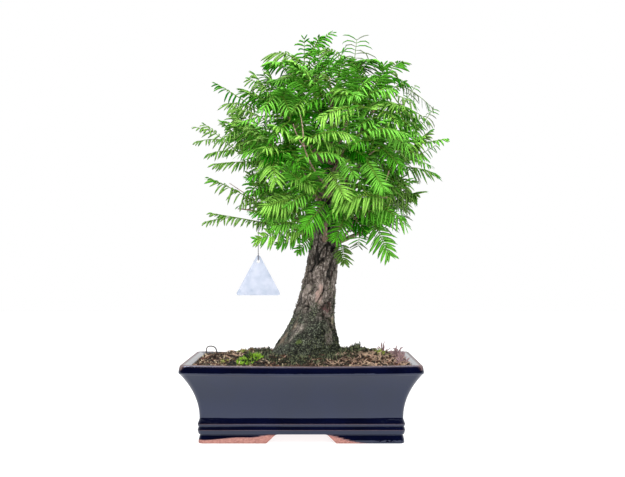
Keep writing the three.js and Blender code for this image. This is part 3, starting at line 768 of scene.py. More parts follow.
@dataclass
class CrownPlan:
    """The crown's outline, its boughs and the cell of each mass."""

    trunk: TrunkLine = field(default_factory=TrunkLine)
    centre: Array = field(default_factory=lambda: np.array([32.0, 0.0, 383.0]))
    outline: Form = Form(150.0, 146.0, (
        (5, 18, 12), (66, 16, 26), (104, 18, 15), (168, 32, 16), (209, 44, 12), (266, -44, 17),
        (303, 36, 11),
    ))
    # the leafy body within that outline
    body: Form = Form(139.0, 139.0, (
        (88, 6, 26), (116, 10, 16), (10, 4, 20), (164, 8, 12), (192, -14, 16), (216, -16, 16),
        (246, -14, 16), (270, -36, 12), (300, -6, 12),
    ))
    bough_tip: float = 2.1
    stem_share: float = 0.42
    tag_along: float = 0.1
    tag_drop: float = 56.0
    places: list[Place] = field(default_factory=list)
    limb_at: Array = field(default_factory=lambda: np.zeros((0, 3)))
    limb_thick: Array = field(default_factory=lambda: np.zeros(0))
    wood_at: Array = field(default_factory=lambda: np.zeros((0, 3)))

    def bough_thickness(self, ring: BoughRing, share: Array) -> Array:
        """Radius of a bough at a share of its length."""
        return blend(ring.thick, self.bough_tip, share**0.8)

    def plan_bough(self, ring: BoughRing, k: int, key: int, turn: float) -> Place:
        """One bough, from the trunk towards the crown's outline and bent down on the way.

        Args:
            ring: the ring that it belongs to.
            k: its number there, from 0.
            key: the key of its random draws.
            turn: degrees that it is turned by to clear other boughs.

        Returns:
            Its place, without its mass's cell.
        """
        azimuth = ring.first + 360 / ring.count * k + swing(key, 1, 14) + turn
        way = direction(azimuth, ring.elevation + swing(key, 2, 8))
        aim = self.centre + way * self.outline.far(way)
        root = self.trunk.centre(ring.root + swing(key, 3, 18))
        tip = blend(root, aim, ring.share) + UP * (ring.arch + 8 * chance(key, 4))
        through = blend(root, tip, 0.5) - UP * (5 + 4 * chance(key, 5))
        through = through + np.array([0.0, swing(key, 6, 7), 0.0])
        place = Place(key, ring, k + 1, root, through, tip, aim)
        share = np.linspace(0, 1, 17)
        place.balls = bow((root, through, tip), share)
        place.thick = self.bough_thickness(ring, share)
        return place

    def crosses(self, place: Place, other: Place) -> bool:
        """True where two boughs come within 1.5 mm of each other outside the trunk.

        Args:
            place: the bough that is being placed.
            other: one that stands already.

        Returns:
            Whether they cross.
        """
        middle = self.trunk.centre(place.balls[:, 2])
        bare = np.linalg.norm((place.balls - middle)[:, :2], axis=1)
        outside = bare >= self.trunk.thickness(place.balls[:, 2]) - 2
        gap = np.linalg.norm(place.balls[:, None] - other.balls[None], axis=-1)
        near = gap < place.thick[:, None] + other.thick[None] + 1.5
        return bool((near.any(1) & outside).any())

    def grow(self) -> None:
        """Plans every bough, the masses' cells, and the limbs that needles stay off."""
        for ring in BOUGH_RINGS:
            for k in range(ring.count):
                key = len(self.places) + 1
                for step in range(20):
                    turn = 3 * np.ceil(step / 2) * (1 if step % 2 else -1)
                    place = self.plan_bough(ring, k, key, turn)
                    if not any(self.crosses(place, other) for other in self.places):
                        break
                self.places.append(place)
        peak = self.trunk.centre(self.trunk.tip)
        top = self.centre[2] + float(self.outline.far(UP))
        aim = np.array([peak[0] - 6, 0.0, top])
        self.places.append(Place(len(self.places) + 1, None, 1, peak, peak, peak, aim))
        for place in self.places:
            place.site = blend(place.tip, place.aim, 0.42)
            place.way = unit(place.aim - place.tip)
        heights = np.arange(self.trunk.foot, self.trunk.tip, 4.0)
        at = [self.trunk.centre(heights)] + [p.balls for p in self.places]
        thick = [self.trunk.thickness(heights)] + [p.thick for p in self.places]
        skirt = next(p for p in self.places if p.ring and (p.ring.name, p.number) == ("skirt", 1))
        hang = bow(self.stem(skirt), np.array(self.tag_along))
        drop = np.arange(-3, self.tag_drop, 2.0)
        at.append(hang - drop[:, None] * UP)
        thick.append(np.full(len(drop), 2.6))
        self.limb_at, self.limb_thick = np.concatenate(at), np.concatenate(thick)
        share = np.linspace(0, 1, 9)
        stems = [bow(self.stem(p), share) for p in self.places]
        self.wood_at = np.concatenate([p.balls[8:] for p in self.places] + stems)

    def stem(self, place: Place) -> tuple[Array, Array, Array]:
        """The three points of the stem that carries a mass on from its bough's tip.

        Args:
            place: the mass.

        Returns:
            Its start, its bend and its end.
        """
        along = unit(place.tip - place.through) if place.ring else UP
        run = self.stem_share * np.linalg.norm(place.aim - place.tip)
        start = place.tip + along * CLEAR
        through = start + along * run * 0.4
        return start, through, through + place.way * run * 0.6

    def in_cell(self, points: Array, place: Place, margin: float) -> Array:
        """True where points lie at least the margin inside the walls of a place's cell.

        Args:
            points: points in mm.
            place: the mass whose cell it is.
            margin: mm, below 0 to reach past the walls.

        Returns:
            A truth for each point.
        """
        others = np.array([p.site for p in self.places if p is not place])
        across = unit(place.site - others)
        middle = (place.site + others) / 2
        depth = np.einsum("pj,ij->pi", points, across) - np.sum(middle * across, -1)
        return (depth >= margin).all(1)

    def off_limbs(self, points: Array, margin: float) -> Array:
        """True where points are further than the margin from every limb."""
        gap = np.linalg.norm(points[:, None] - self.limb_at[None], axis=-1)
        return (gap > self.limb_thick + margin).all(1)

    def inside(self, points: Array, full: float) -> Array:
        """True where points lie within a share of the crown's leafy body."""
        out = points - self.centre
        return np.linalg.norm(out, axis=-1) <= self.body.far(unit(out)) * full


class Tone(Enum):
    """Tones of green, each one finish for the needles' upper side. Dealt darker deep in
    the crown and lighter outside, they are partly painted shade and painted light.
    """

    SHADE = "#0f4503"
    DEEP = "#1e6f06"
    LEAF = "#58ab2a"
    FRESH = "#74c142"
    BRIGHT = "#8ecb50"
    OLIVE = "#6d9644"
    DULL = "#6a7a58"

    @property
    def gloss(self) -> float:
        """Refraction of the needles' wax: old needles deep in the crown shine least."""
        weak = {Tone.SHADE: 1.06, Tone.DEEP: 1.08, Tone.LEAF: 1.16, Tone.OLIVE: 1.16}
        return weak.get(self, 1.21)


SHADE, DEEP, LEAF, FRESH, BRIGHT, OLIVE, DULL = Tone


@dataclass
class Spray:
    """A twig's end that bears needles: where it starts, its way and length, how far it
    arches down, and how flat its needles lie: 0 like a comb that hangs, 1 like a fan."""

    start: Array
    way: Array
    key: float
    length: float
    side: Array
    arch: float
    flat: float
    needle: float
    tone: Tone | None = None

    @property
    def thick(self) -> float:
        """Radius of its stalk at the start."""
        return 0.5 + self.length / 220

    def middle_line(self, along: Array) -> Array:
        """Points at distances along it: straight on, less a drop with their square."""
        u = np.asarray(along, float)[..., None]
        return self.start + self.way * u - UP * self.arch * u * u / self.length

    def tangent(self, along: float) -> Array:
        """Its direction at a distance along it."""
        return unit(self.way - UP * 2 * self.arch * along / self.length)


# Shoots that stand out of the crown at its sides and top: start and tip, each across, in depth
# and up in mm, then arch, how flat the needles lie, their length, and tone.
LEADERS = (
    (-28, -22, 279, -121, -34, 296, 0.02, 0.15, 18, OLIVE),
    (-98, -30, 290, -129, -36, 284, 0.05, 0.3, 14, OLIVE),
    (-48, -24, 303, -122, -40, 342, 0.1, 0, 22, OLIVE),
    (-84, -20, 377, -130, -30, 414, 0.03, 0.15, 18, OLIVE),
    (-117, -26, 404, -141, -34, 410, 0.1, 0.3, 12, OLIVE),
    (-106, -24, 394, -141, -34, 390, 0.22, 0.2, 13, OLIVE),
    (-86, -26, 379, -122, -40, 374, 0.22, 0.2, 16, OLIVE),
    (-46, -30, 364, -115, -46, 360, 0.08, 0.25, 19, OLIVE),
    (-38, -28, 336, -73, -44, 323, 0.1, 0.2, 16, LEAF),
    (-67, -8, 441, -115, -16, 470, 0.05, 0, 20, DEEP),
    (-61, -20, 432, -99, -30, 444, 0.4, 0, 23, OLIVE),
    (-46, -4, 461, -71, -12, 478, 0.25, 0.1, 19, OLIVE),
    (-20, -4, 488, -44, -12, 501, 0.45, 0.2, 16, DEEP),
    (0, -8, 498, -40, -16, 515, 0.45, 0.1, 25, OLIVE),
    (3, 4, 497, 3, 2, 535, 0, 0.1, 20, DEEP),
    (5, -4, 507, 39, -14, 540, 0.2, 0.3, 15, LEAF),
    (9, -2, 499, 24, -12, 536, 0.25, 0.3, 18, DEEP),
    (67, -6, 471, 74, -10, 532, 0, 0, 42, DULL),
    (109, -6, 474, 134, -14, 505, 0.4, 0.3, 18, OLIVE),
    (117, -4, 480, 141, -12, 470, 0.5, 0.1, 18, DEEP),
    (132, -10, 438, 154, -14, 469, 0.04, 0.2, 14, DULL),
    (130, 6, 473, 178, 2, 436, 0.3, 0, 19, DULL),
    (156, -6, 409, 178, -10, 438, 0.04, 0.2, 14, DULL),
    (159, -10, 390, 194, -16, 396, 0.06, 0.4, 12, FRESH),
    (149, 6, 370, 183, 4, 390, 0.04, 0.2, 15, DULL),
    (145, -16, 368, 172, -24, 359, 0.24, 0.3, 13, FRESH),
    (114, -34, 354, 169, -50, 350, 0.3, 0, 28, OLIVE),
    (117, -30, 344, 142, -44, 315, 0.18, 0.3, 22, OLIVE),
    (112, -40, 326, 143, -54, 298, 0.22, 0.3, 17, DULL),
    (84, -66, 312, 134, -84, 275, 0.3, 0.45, 21, FRESH),
    (7, -44, 276, -60, -68, 260, 0.1, 0.9, 17, BRIGHT),
    (137, -30, 436, 166, -44, 415, 0.3, 0.1, 19, OLIVE),
)

# Fronds on the crown's face, the same way. Their light tones on the face are partly painted light.
FRONDS = (
    (86, -50, 297, 114, -72, 239, 0.08, 1, 22, FRESH),
    (76, -58, 292, 74, -68, 251, 0.04, 1, 17, DULL),
    (52, -28, 256, 56, -44, 230, 0.1, 1, 15, OLIVE),
    (12, -34, 272, -32, -54, 253, 0.1, 0.9, 13, LEAF),
    (14, -30, 266, -6, -44, 244, 0.1, 1, 11, LEAF),
    (0, -52, 284, -41, -72, 278, 0.14, 0.8, 16, FRESH),
    (-15, -46, 293, -67, -62, 296, 0.14, 0.5, 15, LEAF),
    (6, -70, 314, -48, -92, 301, 0.16, 0.8, 20, BRIGHT),
    (34, -80, 311, 5, -106, 274, 0.1, 0.9, 22, LEAF),
    (59, -66, 299, 44, -88, 259, 0.06, 1, 19, LEAF),
    (58, -60, 298, 83, -72, 270, 0.16, 0.7, 15, DEEP),
    (65, -66, 304, 110, -84, 285, 0.2, 0.7, 17, LEAF),
    (109, -94, 314, 43, -126, 302, 0.34, 0.6, 24, BRIGHT),
    (36, -96, 348, 53, -134, 310, 0.14, 1, 25, BRIGHT),
    (51, -90, 364, 66, -126, 337, 0.16, 1, 15, FRESH),
    (80, -96, 363, 104, -134, 318, 0.12, 1, 19, FRESH),
    (-2, -110, 360, 52, -132, 364, 0.5, 0.3, 17, FRESH),
    (12, -112, 388, 67, -134, 388, 0.42, 0.4, 18, BRIGHT),
    (76, -94, 428, 20, -132, 405, 0.34, 0.6, 22, BRIGHT),
    (79, -104, 395, 134, -122, 391, 0.42, 0.4, 19, FRESH),
    (108, -92, 394, 135, -112, 374, 0.2, 0.8, 15, FRESH),
    (-15, -84, 344, 14, -108, 326, 0.14, 0.8, 15, BRIGHT),
    (-10, -76, 375, -47, -96, 366, 0.12, 0.8, 17, DEEP),
    (-29, -60, 451, -51, -82, 424, 0.24, 0.5, 19, FRESH),
    (-23, -70, 443, -15, -88, 423, 0.24, 0.5, 17, FRESH),
    (-11, -60, 322, -48, -78, 307, 0.2, 0.6, 15, BRIGHT),
    (63, -70, 443, 89, -90, 466, 0.1, 0.6, 20, FRESH),
    (83, -76, 445, 118, -94, 452, 0.34, 0.5, 20, FRESH),
    (39, -66, 452, 8, -90, 430, 0.28, 0.4, 19, LEAF),
    (32, -34, 480, 19, -44, 510, 0.2, 0.3, 16, LEAF),
    (56, -30, 491, 32, -46, 515, 0.4, 0.2, 20, OLIVE),
    (-17, -74, 412, -37, -96, 384, 0.3, 0.3, 20, LEAF),
    (-31, -50, 422, -75, -66, 413, 0.3, 0.2, 19, FRESH),
    (-52, -40, 421, -91, -54, 432, 0.3, 0.1, 19, OLIVE),
    (101, -74, 381, 128, -98, 348, 0.16, 0.8, 17, LEAF),
    (126, -50, 420, 154, -62, 392, 0.26, 0.4, 17, FRESH),
    (107, -60, 302, 131, -76, 287, 0.26, 0.6, 16, LEAF),
    (70, -90, 328, 36, -112, 289, 0.18, 0.6, 17, LEAF),
    (47, -96, 406, 26, -116, 392, 0.16, 0.9, 16, LEAF),
    (57, -90, 379, 81, -110, 362, 0.16, 0.9, 15, DEEP),
    (14, -80, 324, -17, -98, 302, 0.2, 0.6, 16, FRESH),
    (-33, -56, 354, -67, -70, 340, 0.2, 0.3, 15, LEAF),
    (-20, -64, 371, -51, -82, 347, 0.22, 0.4, 16, FRESH),
    (125, -36, 451, 147, -50, 436, 0.34, 0.3, 17, OLIVE),
    (-2, -30, 475, -34, -44, 468, 0.34, 0.2, 18, FRESH),
    (85, -36, 469, 66, -44, 500, 0.2, 0.3, 17, OLIVE),
    (-4, -48, 296, -46, -64, 288, 0.24, 0.3, 15, FRESH),
    (-18, -42, 288, -41, -58, 272, 0.2, 0.5, 14, LEAF),
    (-53, -30, 324, -81, -44, 305, 0.16, 0.3, 14, OLIVE),
    (6, -66, 446, -9, -86, 423, 0.3, 0.3, 18, BRIGHT),
    (21, -48, 467, 6, -66, 444, 0.34, 0.2, 18, FRESH),
    (50, -62, 460, 52, -86, 433, 0.3, 0.4, 18, FRESH),
    (101, -80, 426, 123, -96, 406, 0.34, 0.4, 18, BRIGHT),
    (93, -90, 415, 71, -110, 400, 0.3, 0.5, 16, FRESH),
    (130, -66, 376, 158, -76, 365, 0.26, 0.3, 17, FRESH),
    (87, -94, 386, 64, -116, 377, 0.3, 0.6, 15, LEAF),
    (-26, -56, 304, -59, -66, 293, 0.2, 0.2, 14, LEAF),
    (-79, -36, 408, -104, -48, 391, 0.3, 0.1, 18, OLIVE),
    (-68, -40, 392, -96, -50, 375, 0.3, 0.1, 17, OLIVE),
)

# Bare wood that shows between the sprays: points across, up and in depth.
BARE_LIMBS = (
    ((38, 322, -78), (8, 350, -124), (3, 380, -119), 1.5),
    ((3, 378, -119), (3, 398, -120), (-1, 416, -114), 1.1),
    ((3, 376, -119), (-6, 388, -121), (-10, 404, -115), 0.9),
    ((47, 254, -16), (60, 270, -28), (78, 293, -40), 2.2),
    ((100, 318, -84), (108, 334, -92), (112, 348, -90), 1.3),
    ((-20, 292, -30), (-62, 312, -36), (-96, 336, -30), 0.9),
)


# Keys of the random draws of the shoots, the fronds, and the fronds' like at the back.
LEADER_KEY, FROND_KEY, BACK_KEY = 700, 800, 900


@dataclass
class Foliage:
    """The sprays of every mass, grown on from the stems."""

    plan: CrownPlan
    twigs: int = 8
    tries: int = 7
    longest: float = 92.0
    shortest: float = 34.0
    stalk: float = 0.07
    pitch: float = 5.2
    fan_pitch: float = 2.9
    apart: float = 12.8
    look_around: float = 80.0
    clear_of_limbs: float = 3.0
    lowest_at_back: float = 284.0
    seen_limbs: int = 3
    open_before_limbs: tuple[float, ...] = (4.0, 12.0, 20.0)
    back_shift: tuple[float, float, float] = (16.0, 0.0, 20.0)
    over: float = 7.0
    # twigs' lean from the stem at its foot and its end, and their swing, in degrees
    twig_leans: tuple[float, float, float] = (84, 42, 14)
    side_shares: tuple[float, ...] = (0.14, 0.32, 0.5)
    side_tries: int = 4
    side_lean: float = 54.0
    # mm of length that one crowded point outweighs, and the least that a spray may score
    crowding: float = 6.0
    least_score: float = 6.0
    # needles' lean from the stalk at its foot and at its tip, fresh ones' and old ones'
    needle_leans: tuple[float, float] = (74, 26)
    old_leans: tuple[float, float] = (84, 52)
    # for a comb and for a fan: slope at a needle's root and at its end, and width
    first_bends: tuple[float, float] = (-6, 2)
    last_bends: tuple[float, float] = (88, 32)
    needle_widths: tuple[float, float] = (2.5, 3.7)
    old_slimness: float = 0.55
    keel: float = 0.14
    # share of the way out that each tone reaches to; darker inside is painted shade and
    # lighter outside painted light, besides the needles' real change of green
    tone_depths: tuple[tuple[float, Tone], ...] = (
        (0.34, SHADE), (0.45, DEEP), (0.6, LEAF), (0.83, FRESH), (np.inf, BRIGHT),
    )
    sprays: list[Spray] = field(default_factory=list)
    wood: list[tuple[Array, float, float]] = field(default_factory=list)
    taken: Array = field(default_factory=lambda: np.full((1, 3), 1e6))

    def shape(self, start: Array, way: Array, key: float, length: float) -> Spray:
        """A spray with its own arch, roll and hang, all drawn from its key.

        Args:
            start: where it leaves its stem.
            way: its first direction.
            key: the key of its random draws.
            length: its length in mm.

        Returns:
            The spray.
        """
        facing = abs(way[1])
        way = unit(way - UP * (0.75 * facing * chance(key, 14) - 0.16 * (1 - facing)))
        side = np.cross(way, UP)
        if np.linalg.norm(side) < 0.25:
            side = np.cross(direction(360 * chance(key, 9), 0), way)
        side = unit(side)
        roll = np.radians(swing(key, 10, 70))
        side = side * np.cos(roll) + np.cross(way, side) * np.sin(roll)
        arch = (0.08 + 0.22 * chance(key, 11)) * (1.2 - abs(way[2]))
        flat = np.clip(0.18 + 0.66 * facing + 0.6 * (chance(key, 12) - 0.42), 0, 1)
        needle = (17 + 0.07 * length) * (0.85 + 0.35 * chance(key, 16))
        return Spray(start, way, key, length, side, arch, float(flat), needle)

    def fitted(self, start: Array, way: Array, key: float, place: Place,
               longest: float, full: float) -> Spray | None:
        """The longest spray whose tip and middle stay in the crown's leafy body, in its
        cell and off the limbs.

        Args:
            start: where it leaves its stem.
            way: its first direction.
            key: the key of its random draws.
            place: the mass that it belongs to.
            longest: the length to begin with.
            full: the share of the body that it may fill.

        Returns:
            The spray, or None where even the shortest doesn't fit.
        """
        lengths = np.arange(longest, self.shortest - 1, -4.0)
        if not len(lengths):
            return None
        spray = self.shape(start, way, key, longest)
        ends = start + spray.way * lengths[:, None] - UP * spray.arch * lengths[:, None]
        half = lengths[:, None] / 2
        middles = start + spray.way * half - UP * spray.arch * half / 2
        good = self.plan.inside(ends, full)
        for points in (ends, middles):
            good &= self.plan.in_cell(points, place, -self.over)
            good &= self.plan.off_limbs(points, self.clear_of_limbs)
        if not good.any():
            return None
        spray.length = float(lengths[np.argmax(good)])
        return spray

    def spread(self, spray: Spray) -> Array:
        """Places spread over a spray, for keeping sprays apart.

        Args:
            spray: the spray.

        Returns:
            Nine points.
        """
        u = np.repeat([0.3, 0.6, 0.9], 3) * spray.length
        v = np.tile([-13.0, 0.0, 13.0], 3)[:, None]
        drop = UP * np.abs(v) * 0.8 * (1 - spray.flat)
        return spray.middle_line(u) + spray.side * v - drop

    def crowded(self, points: Array) -> int:
        """How many of the points come too near sprays that are there already.

        Args:
            points: places spread over a spray.

        Returns:
            Their count.
        """
        box = np.abs(self.taken - points.mean(0)).max(1) < self.look_around
        if not box.any():
            return 0
        gap = np.linalg.norm(points[:, None] - self.taken[box][None], axis=-1)
        return int((gap.min(1) < self.apart).sum())

    def keep(self, spray: Spray) -> None:
        """Adds a spray and marks the room that it takes."""
        self.sprays.append(spray)
        self.taken = np.concatenate([self.taken, self.spread(spray)])

    def twig_way(self, place: Place, k: int, attempt: int) -> Array:
        """The way of twig k of a mass: turned round the mass's way by the golden angle and
        spread from it, less so towards the stem's end.

        Args:
            place: the mass.
            k: the twig's number.
            attempt: the number of the try.

        Returns:
            A unit vector.
        """
        share = k / (self.twigs - 1)
        spin = np.radians((k + 0.37 * attempt) * GOLDEN + 360 * chance(place.key, 7))
        foot, end, full = self.twig_leans
        wide = blend(foot, end, share) + swing(place.key * 10 + k, 8, full)
        if k == self.twigs - 1:
            wide = 6 + 12 * attempt
        level = np.cross(UP, place.way)
        if np.linalg.norm(level) < 0.3:
            level = np.cross(ACROSS, place.way)
        level = unit(level)
        lift = unit(np.cross(place.way, level))
        wide = np.radians(wide)
        return unit(
            place.way * np.cos(wide)
            + level * np.sin(wide) * np.cos(spin)
            + lift * 0.8 * np.sin(wide) * np.sin(spin)
        )

    def best(self, options: list[Spray | None]) -> Spray | None:
        """The best of several sprays: long, and clear of those that are there.

        Args:
            options: the sprays, None where one didn't fit.

        Returns:
            The best, or None where all are crowded or short.
        """
        scored = [
            (o.length - self.crowding * self.crowded(self.spread(o)), i)
            for i, o in enumerate(options) if o
        ]
        if not scored or max(scored)[0] < self.least_score:
            return None
        return options[max(scored)[1]]

    def grow_mass(self, place: Place) -> None:
        """Grows a mass: twigs along its stem, and finer side sprays on each twig.

        Args:
            place: the mass.
        """
        stem = self.plan.stem(place)
        for k in range(self.twigs):
            start = bow(stem, np.array(blend(0.12, 1.0, k / (self.twigs - 1))))
            full = 1.0 if k == self.twigs - 1 else blend(0.84, 1.0, chance(place.key * 10 + k, 13))
            options = [
                self.fitted(start, self.twig_way(place, k, a), place.key * 10 + k + a / 16, place,
                            self.longest, full)
                for a in range(self.tries)
            ]
            twig = self.best(options)
            if twig is None:
                continue
            self.keep(twig)
            self.grow_sides(place, twig)

    def grow_sides(self, place: Place, twig: Spray) -> None:
        """Grows side sprays from a twig, in pairs to its left and right.

        Args:
            place: the mass.
            twig: the twig's own spray.
        """
        for n, share in enumerate(self.side_shares):
            start = twig.middle_line(share * twig.length)
            along = twig.tangent(share * twig.length)
            for hand in (-1, 1):
                key = twig.key + 0.31 * n + 0.07 * hand
                options = []
                for a in range(self.side_tries):
                    lean = np.radians(self.side_lean + swing(key, 15 + a, 16))
                    lift = 0.5 * (chance(key, 20 + a) - 0.4)
                    way = unit(along * np.cos(lean) + twig.side * hand * np.sin(lean) + UP * lift)
                    longest = twig.length * blend(0.5, 0.75, chance(key, 26))
                    options.append(self.fitted(start, way, key + a / 32, place, longest, 1.0))
                spray = self.best(options)
                if spray is not None:
                    self.keep(spray)

    def reach_to(self, start: Array, way: Array) -> None:
        """Grows bare wood from the nearest limb to the start of a shoot.

        Args:
            start: where the shoot starts.
            way: the way it sets out in.
        """
        gap = np.linalg.norm(self.plan.wood_at - start, axis=1)
        near = int(np.argmin(gap))
        bend = start - way * 0.45 * gap[near]
        path = bow((self.plan.wood_at[near], bend, start), np.linspace(0, 1, 9))
        self.wood.append((path, 0.75 + 0.007 * gap[near], 0.6))
        self.plan.wood_at = np.concatenate([self.plan.wood_at, path[3:]])

    def grow_named(self, start: Array, tip: Array, arch: float, flat: float,
                   needle: float, tone: Tone, key: float) -> None:
        """Grows one shoot between two places: its way is the straight line's, lifted by
        what it arches down. The flatter or steeper it is, the more its needles' plane
        faces outwards.

        Args:
            start: where it starts.
            tip: where it ends.
            arch: its drop as a share of its length.
            flat: how flat its needles lie.
            needle: length of its needles.
            tone: its tone of green.
            key: the key of its random draws.
        """
        span = float(np.linalg.norm(tip - start))
        line = tip - start + UP * arch * span
        way, length = unit(line), float(np.linalg.norm(line))
        out = unit(start - self.plan.centre)
        viewed = unit(np.array([0.3 * out[0], np.copysign(1.0, out[1]), 0.3 * out[2] + 0.35]))
        turned = max(flat, float(np.clip(1.6 * abs(way[2]) - 0.5, 0, 1)))
        side = unit(np.cross(way, blend(UP, viewed, turned)))
        spray = Spray(start, way, key, length, side, arch, flat, needle, tone)
        self.reach_to(start, way)
        self.keep(spray)
        stem = spray.middle_line(np.linspace(0.2, 0.8, 7) * length)
        self.plan.wood_at = np.concatenate([self.plan.wood_at, stem])

    def grow_shoots(self) -> None:
        """Keeps the room before the limbs that show open, then grows the leaders at the
        crown's edge, the fronds on its face, and their like at the back, where they stand
        mirrored and a little apart."""
        middle = self.plan.centre[0]
        ahead = np.array([[[0.0, -far, 0.0]] for far in self.open_before_limbs])
        for *ends, _ in BARE_LIMBS[: self.seen_limbs]:
            line = bow(np.array(ends, float)[:, [0, 2, 1]], np.linspace(0, 1, 5))
            self.taken = np.concatenate([self.taken, (line + ahead).reshape(-1, 3)])
        shoots = [*enumerate(LEADERS, LEADER_KEY), *enumerate(FRONDS, FROND_KEY)]
        for key, (*places, arch, flat, needle, tone) in shoots:
            ends = np.array(places, float).reshape(2, 3)
            self.grow_named(*ends, arch, flat, needle, tone, key)
            if key < FROND_KEY or ends[1, 2] < self.lowest_at_back:
                continue
            key += BACK_KEY - FROND_KEY
            shift = swing(key, np.array([1, 2, 3]), np.array(self.back_shift))
            ends = ends * [-1.0, -1.0, 1.0] + [2 * middle, 0, 0] + shift
            self.grow_named(*ends, arch, flat, needle, tone, key)

    def deal_tones(self) -> None:
        """Deals a tone to each spray that has none: deep in the crown the dark ones, which paint
        its shade, outside the fresh ones, lighter partly as painted light, with olive ones at the
        sides and top and dull ones among the highest and furthest."""
        for spray in self.sprays:
            if spray.tone:
                continue
            middle = spray.middle_line(0.6 * spray.length)
            out = middle - self.plan.centre
            depth = float(np.linalg.norm(out) / self.plan.body.far(unit(out)))
            high = float(out[2]) / self.plan.outline.reach
            aside = 1 - float(unit(out)[1]) ** 2
            draw = depth + swing(spray.key, 30, 0.36)
            if draw > 0.88 and chance(spray.key, 31) < 0.05 + 0.26 * max(0.0, high) * depth:
                spray.tone = DULL
            elif draw > 0.56 and chance(spray.key, 32) < 0.62 * aside:
                spray.tone = OLIVE
            else:
                spray.tone = next(tone for limit, tone in self.tone_depths if draw < limit)

    def grow(self) -> None:
        """Grows the shoots that stand out, then every mass, then deals the tones."""
        self.grow_shoots()
        for place in self.plan.places:
            self.grow_mass(place)
        self.deal_tones()

    def needles(self, sprays: Sequence[Spray]) -> Surface:
        """The needles of several sprays. They stand in pairs along the middle line, closer
        towards the tip, lean forward more there, and are shorter at both ends. Each bends
        down evenly along its length, so its sideways part follows the sine of the angle
        below level and its drop the cosine; on a comb it ends steep, on a fan it stays
        flatter. Old dull ones are slim and stand straight out.

        Args:
            sprays: the sprays to clothe.

        Returns:
            All their needles as blades.
        """
        counts = np.array([
            max(5, round(s.length * (0.97 - self.stalk) / blend(self.pitch, self.fan_pitch, s.flat)))
            for s in sprays
        ])
        owner = np.repeat(np.arange(len(sprays)), counts)
        index = np.concatenate([np.arange(n) for n in counts])
        t = (index + 0.5) / counts[owner]
        pick = {
            name: np.array([getattr(s, name) for s in sprays])[owner]
            for name in ("start", "way", "side", "length", "arch", "flat", "needle", "key")
        }
        u = blend(self.stalk, 0.985, 1 - (1 - t) ** 1.15) * pick["length"]
        drop = (pick["arch"] * u * u / pick["length"])[:, None]
        base = pick["start"] + pick["way"] * u[:, None] - UP * drop
        ahead = unit(pick["way"] - UP * (2 * pick["arch"] * u / pick["length"])[:, None])
        flat = pick["flat"]
        full = pick["needle"] * 1.04
        old = sprays[0].tone is DULL
        swell = np.sin(np.pi * blend(0.22, 0.87, t)) ** 0.7
        normal = np.cross(pick["side"], ahead)
        normal *= np.where(normal[:, 2:] < 0, -1.0, 1.0)
        down = -unit(blend(UP, normal, (0.75 * flat)[:, None]))
        hands = []
        for hand in (-1.0, 1.0):
            seed = pick["key"] + 0.013 * index * hand
            size = full * swell * (0.74 + 0.46 * chance(seed, 40))
            sweep = np.radians(blend(*(self.old_leans if old else self.needle_leans), t**2.4))
            sweep += np.radians(swing(seed, 41, 26))
            first = np.radians(blend(*self.first_bends, flat))
            last = np.radians(blend(*self.last_bends, flat)) * (0.6 + 0.8 * chance(seed, 42))
            s = np.array([0.0, 0.2, 0.48, 0.8, 1.0])
            bend = first[:, None] + (last - first)[:, None] * s
            level = (np.sin(bend) - np.sin(first)[:, None]) / (last - first)[:, None]
            fall = (np.cos(first)[:, None] - np.cos(bend)) / (last - first)[:, None]
            line = (
                ahead[:, None] * (np.cos(sweep)[:, None] * s)[..., None]
                + pick["side"][:, None] * hand * (np.sin(sweep)[:, None] * level)[..., None]
                + down[:, None] * (np.sin(sweep)[:, None] * fall + 0.06 * s * s)[..., None]
            )
            centres = base[:, None] + size[:, None, None] * line
            clear = self.plan.off_limbs(centres[:, 3], 0.4)
            twist = swing(seed[:, None], np.array([44.0, 45.0, 46.0]), 0.9)
            width = blend(*self.needle_widths, flat) * (self.old_slimness if old else 1)
            width = width * np.clip(blend(0.7, 1.05, size / 22), 0.65, 1.15)
            hands.append(blades(centres[clear], (ahead + twist)[clear], width[clear], self.keel))
        return joined(hands)

    def stalks(self) -> tuple[Surface, Surface]:
        """The sprays' own stalks, and the wood that bears them, as tapering tubes.

        Returns:
            The green stalks, and the woody stems.
        """
        share = np.linspace(0, 1, 7)
        paths = np.array([s.middle_line(share * s.length * 0.99) for s in self.sprays])
        thick = np.array([s.thick for s in self.sprays])[:, None] * blend(1.0, 0.35, share)
        share = np.linspace(0, 1, 9)
        stems = np.array([bow(self.plan.stem(p), share) for p in self.plan.places])
        stem_thick = np.broadcast_to(blend(1.8, 0.6, share), (len(stems), 9))
        thin, self.wood = self.wood, []
        for *ends, radius in BARE_LIMBS:
            start, through, end = np.array(ends, float)[:, [0, 2, 1]]
            self.reach_to(start, unit(through - start))
            path, _, _ = self.wood.pop()
            self.wood.append((path, radius * 1.15, radius))
            self.wood.append((bow((start, through, end), share), radius, radius * 0.5))
        woody = joined([tubes(stems, stem_thick, 8), self.limbs(self.wood)])
        return joined([tubes(paths, thick, 4), self.limbs(thin)]), woody

    def limbs(self, wood: Sequence[tuple[Array, float, float]]) -> Surface:
        """Bare stretches of wood as tapering tubes.

        Args:
            wood: the path of each with its radius at both ends.

        Returns:
            The tubes.
        """
        paths = np.array([path for path, _, _ in wood])
        ends = np.array([radii for _, *radii in wood])
        share = np.linspace(0, 1, paths.shape[1])
        return tubes(paths, blend(ends[:, :1], ends[:, 1:], share), 6)

    def build(self, stands_for: Sequence[str], young: Material) -> None:
        """Makes the needle pieces, the stalks and the stems.

        Args:
            stands_for: the foliage solids of the frame.
            young: the bark of boughs and stems.
        """
        self.grow()
        log.info("sprays: %d", len(self.sprays))
